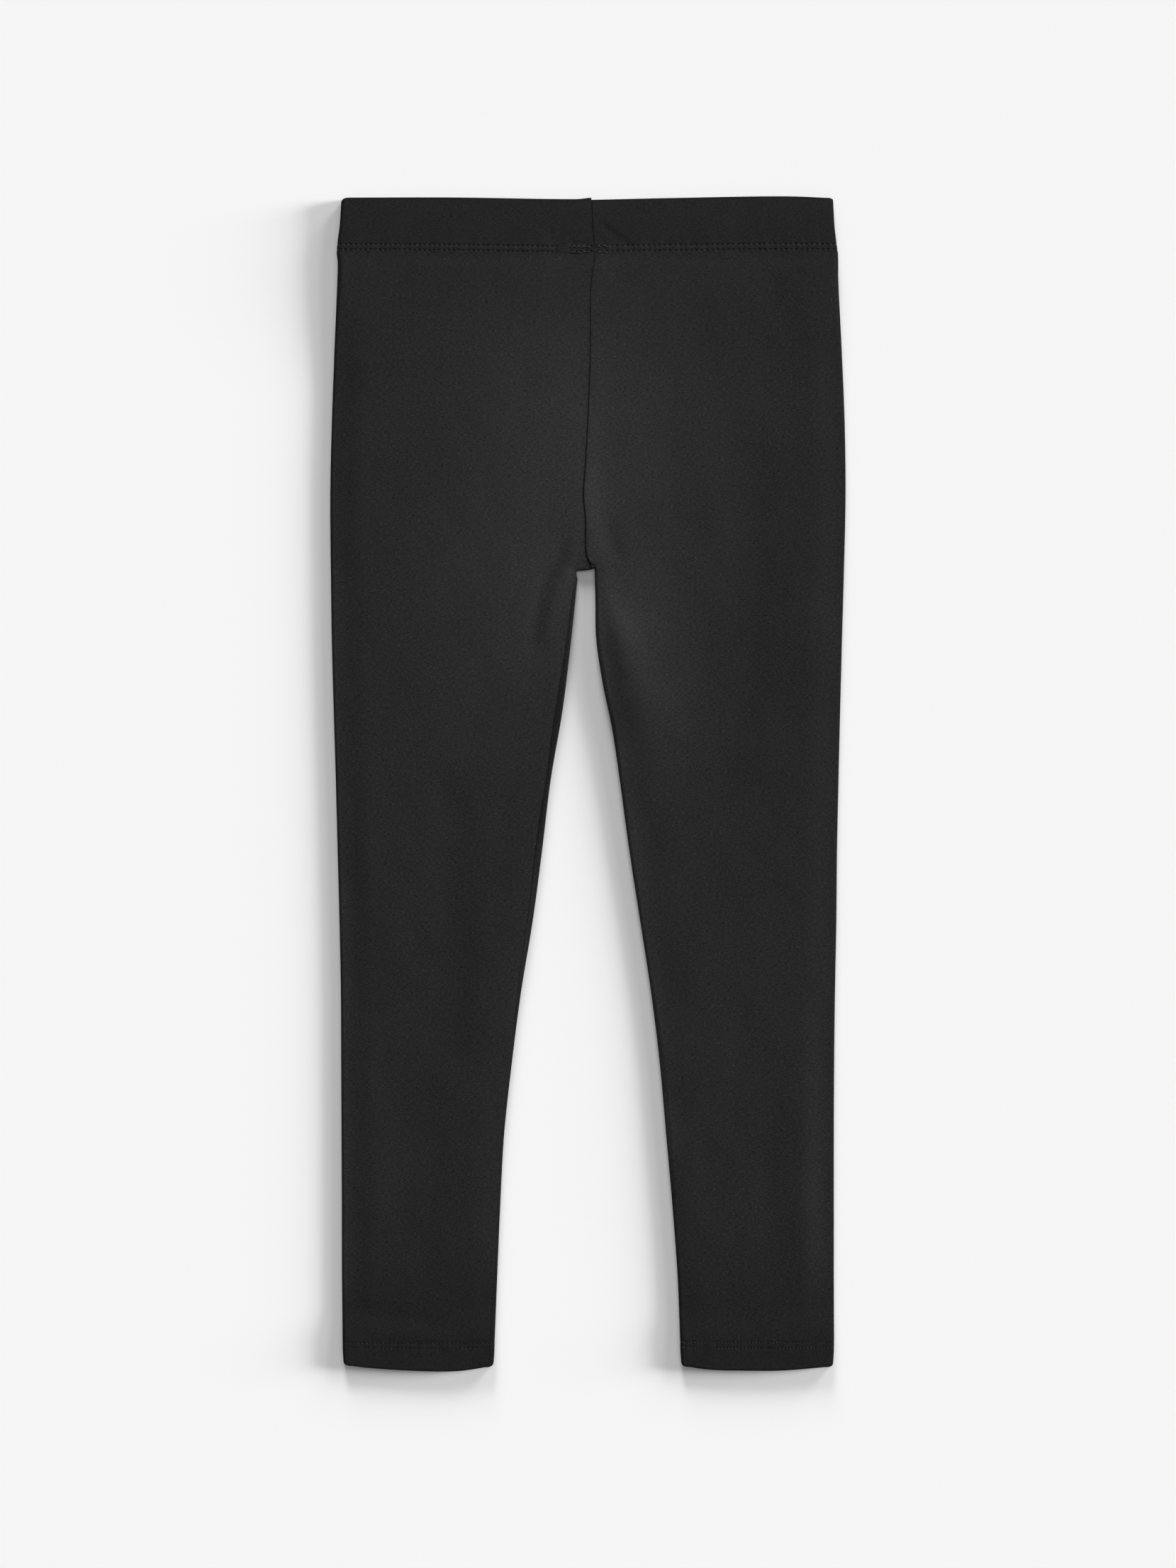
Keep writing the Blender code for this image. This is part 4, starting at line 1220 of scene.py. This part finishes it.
def stitches(name, place, rows, holes, sink, seed, skip=None, locks=None):
    """One mesh of stitches. place(distance, row) gives points and normals on the cloth."""
    dice = np.random.RandomState(seed)
    shares, heights = STITCH_SHAPE
    tubes, flats = [], []
    for row, shift in rows:
        for start, end in zip(holes, holes[1:]):
            distance = mix(start, end, shares) + shift
            locked = bool(locks and locks(place(mix(start, end, 0.5) + shift, row)[0]))
            aside = dice.uniform(-ASIDE, ASIDE) + (shares - 0.5) * dice.uniform(-SLANT, SLANT)
            points, normals = place(distance, row + aside * (LOOSER if locked else 1))
            if skip and skip(points[STITCH_MIDDLE], normals[STITCH_MIDDLE], shift):
                continue
            sunk = sink + SINKING * drifting(start, 5.1, 1.7, 13.7, 9 * row)
            sunk += dice.uniform(*UNEVEN_DEPTH) - ON_TOP * locked
            points = points + normals * (heights * dice.uniform(*UNEVEN_BEND) - sunk)[:, None]
            radius = THREAD_RADIUS * dice.uniform(*UNEVEN_THREAD) * (FATTER if locked else 1)
            tubes.append(thread_rings(points, normals, radius))
            flats.append(np.stack(np.broadcast_arrays(distance[:, None], ROUND_THREAD[None, :], row), -1))
    tubes = np.array(tubes)
    grid = np.arange(tubes[..., 0].size).reshape(tubes.shape[:3])
    after = np.roll(grid, -1, 2)
    walls = np.stack([grid[:, :-1], after[:, :-1], after[:, 1:], grid[:, 1:]], -1).reshape(-1, 4)
    faces = walls[:, ::-1].tolist() + grid[:, 0].tolist() + grid[:, -1, ::-1].tolist()
    piece = make_piece(name, tubes.reshape(-1, 3), faces, thread)
    keep_on_mesh(piece.data, PATTERN, "FLOAT_VECTOR", "POINT", np.array(flats))
    print(name, len(tubes), "stitches")
    return piece


# %% Stitching of the waistband and the hems
BAND_SINK, HEM_SINK = 0.30, 0.10  # how deep the thread lies in the cloth
OVER_SEAM = 0.4  # how far before the centre seam the right half's first stitch starts
SECOND_PASS = (-0.5, 0.45)  # how far the second pass of the locked stretch is off, down and along


def band_stitches(name, cut, holes, seed):
    depth = band_depth(cut)

    def place(distance, row):
        return band_point(cut, distance, 1 - row / depth)

    def locks(point):
        return point[2] > BAND_HEIGHT / 2 and LOCKED[0] < point[0] < LOCKED[1]

    def skip(point, normal, shift):
        on_top = normal[2] > 0.5
        if shift and not (on_top and LOCKED[0] < point[0] < LOCKED[1]):
            return True
        return on_top and GAP[0] < point[0] < GAP[1]

    down, along = SECOND_PASS
    rows = [(row, 0.0) for row in STITCH_ROWS] + [(row + down, along * cut.band_pitch) for row in STITCH_ROWS]
    first = [-OVER_SEAM] if cut.side > 0 else []
    return stitches(name, place, rows, np.concatenate([first, holes]), BAND_SINK, seed, skip, locks)


def hem_stitches(name, cut, holes, seed):
    _, end, depth = hem_sizes(cut)

    def place(distance, row):
        return hem_point(cut, distance, row / depth)

    rows = [(row, 0.0) for row in HEM_ROWS[cut.side]]
    return stitches(name, place, rows, np.append(holes, holes[0] + end), HEM_SINK, seed)


sewing_left = band_stitches("waistband_stitching_left", LEFT, left_holes, 3)
sewing_right = band_stitches("waistband_stitching_right", RIGHT, right_holes, 4)
hem_sewing_left = hem_stitches("hem_stitching_left", LEFT, hem_left_holes, 5)
hem_sewing_right = hem_stitches("hem_stitching_right", RIGHT, hem_right_holes, 6)

# %% [markdown]
# ## Putting the pieces in place
# Every shell rides on the garment's one rigid body and stands for the solid that it was built
# round. Each sheet of cloth is listed with the size it was cut to, all the way round its tube.

# %% Ride and replace
Sheet = namedtuple("Sheet", "cloth node flat area sewn_on")
SHEETS = (  # flat is the cut across and along, and area is given where the cut isn't a rectangle
    Sheet(leg_left, "leg_left", (0.310, 0.648), 0.1626, [hem_left]),
    Sheet(leg_right, "leg_right", (0.310, 0.648), 0.1645, [hem_right]),
    Sheet(band_left, "waistband_left", (0.306, 0.0335), None, [sewing_left]),
    Sheet(band_right, "waistband_right", (0.300, 0.0335), None, [sewing_right]),
    Sheet(hem_left, "hem_left", (0.184, 0.018), None, [hem_sewing_left]),
    Sheet(hem_right, "hem_right", (0.185, 0.018), None, [hem_sewing_right]),
)
for sheet in SHEETS:
    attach(sheet.cloth, "root")
    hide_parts(sheet.node)
for sewing in (sewing_left, sewing_right, hem_sewing_left, hem_sewing_right):
    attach(sewing, "root")
print(len(SHEETS), "sheets of cloth")

# %% [markdown]
# ## Table, light and camera
# The table is plain and pale. Light comes in low from the right and the top, as from three big
# soft boxes beside the table, so the low folds show and the shadows fall to the left and below. A
# fourth light, high up, is the ceiling. Suns with a wide disc stand in for the boxes: they light
# the whole table evenly. The camera looks straight down.

# %% Table
TABLE_ALBEDO, TABLE_ROUGHNESS = 0.86, 0.95
TABLE_LEVEL, TABLE_HALF = -0.05, 6000.0
TABLE_CORNERS = np.array(((-1, -1), (1, -1), (1, 1), (-1, 1)))


def table_top():
    material, tree, shader = new_material("pale_table")
    feed(tree, shader, {
        "Base Color": (TABLE_ALBEDO, TABLE_ALBEDO, TABLE_ALBEDO, 1.0),
        "Roughness": TABLE_ROUGHNESS,
        "Specular IOR Level": 0.0,
    })
    points = np.insert(TABLE_CORNERS * TABLE_HALF, 2, TABLE_LEVEL, 1)
    make_piece("table_top", points, [(0, 1, 2, 3)], material)


table_top()

# %% Lights
TABLE_BRIGHTNESS = 0.92  # of the open table in the render
SKY_SHARE = 0.11
Light = namedtuple("Light", "name azimuth elevation width share")
LIGHTS = (  # azimuth is counted from the right, towards the waist; share is of the table's light
    Light("soft_box_right", 8.0, 10.0, 17.0, 0.36),
    Light("soft_box_corner", 50.0, 13.0, 18.0, 0.14),
    Light("soft_box_top", 96.0, 14.5, 18.0, 0.22),
    Light("ceiling", 60.0, 82.0, 60.0, 0.17),
)
full_light = TABLE_BRIGHTNESS / TABLE_ALBEDO
for light in LIGHTS:
    sun = bpy.data.lights.new(light.name, "SUN")
    sun.energy = light.share * full_light * math.pi / math.sin(math.radians(light.elevation))
    sun.angle = math.radians(light.width)
    lamp = put_in_scene(light.name, sun)
    lamp.rotation_euler = (0.0, math.radians(90 - light.elevation), math.radians(light.azimuth))

world = bpy.data.worlds.new("studio")
world.use_nodes = True
sky = world.node_tree.nodes["Background"].inputs
feed(world.node_tree, sky, {"Color": (1.0, 1.0, 1.0, 1.0), "Strength": SKY_SHARE * full_light})
bpy.context.scene.world = world
bpy.context.scene.view_settings.view_transform = "Standard"
print("light shares add up to", round(SKY_SHARE + sum(light.share for light in LIGHTS), 2))

# %% Camera
FRAME_HEIGHT = 935.0  # millimetres of table from the top to the bottom of the frame
LENS, SENSOR = 85.0, 36.0
CLOTH_LEVEL = 2.0  # the frame is measured about here
camera = bpy.data.cameras.new("camera")
camera.lens, camera.sensor_width = LENS, SENSOR
viewer = put_in_scene("camera", camera)
viewer.location = (0.0, 0.0, (FRAME_HEIGHT * LENS / SENSOR + CLOTH_LEVEL) * METRES)
bpy.context.scene.camera = viewer
print("camera", round(viewer.location.z, 3), "m above the table")
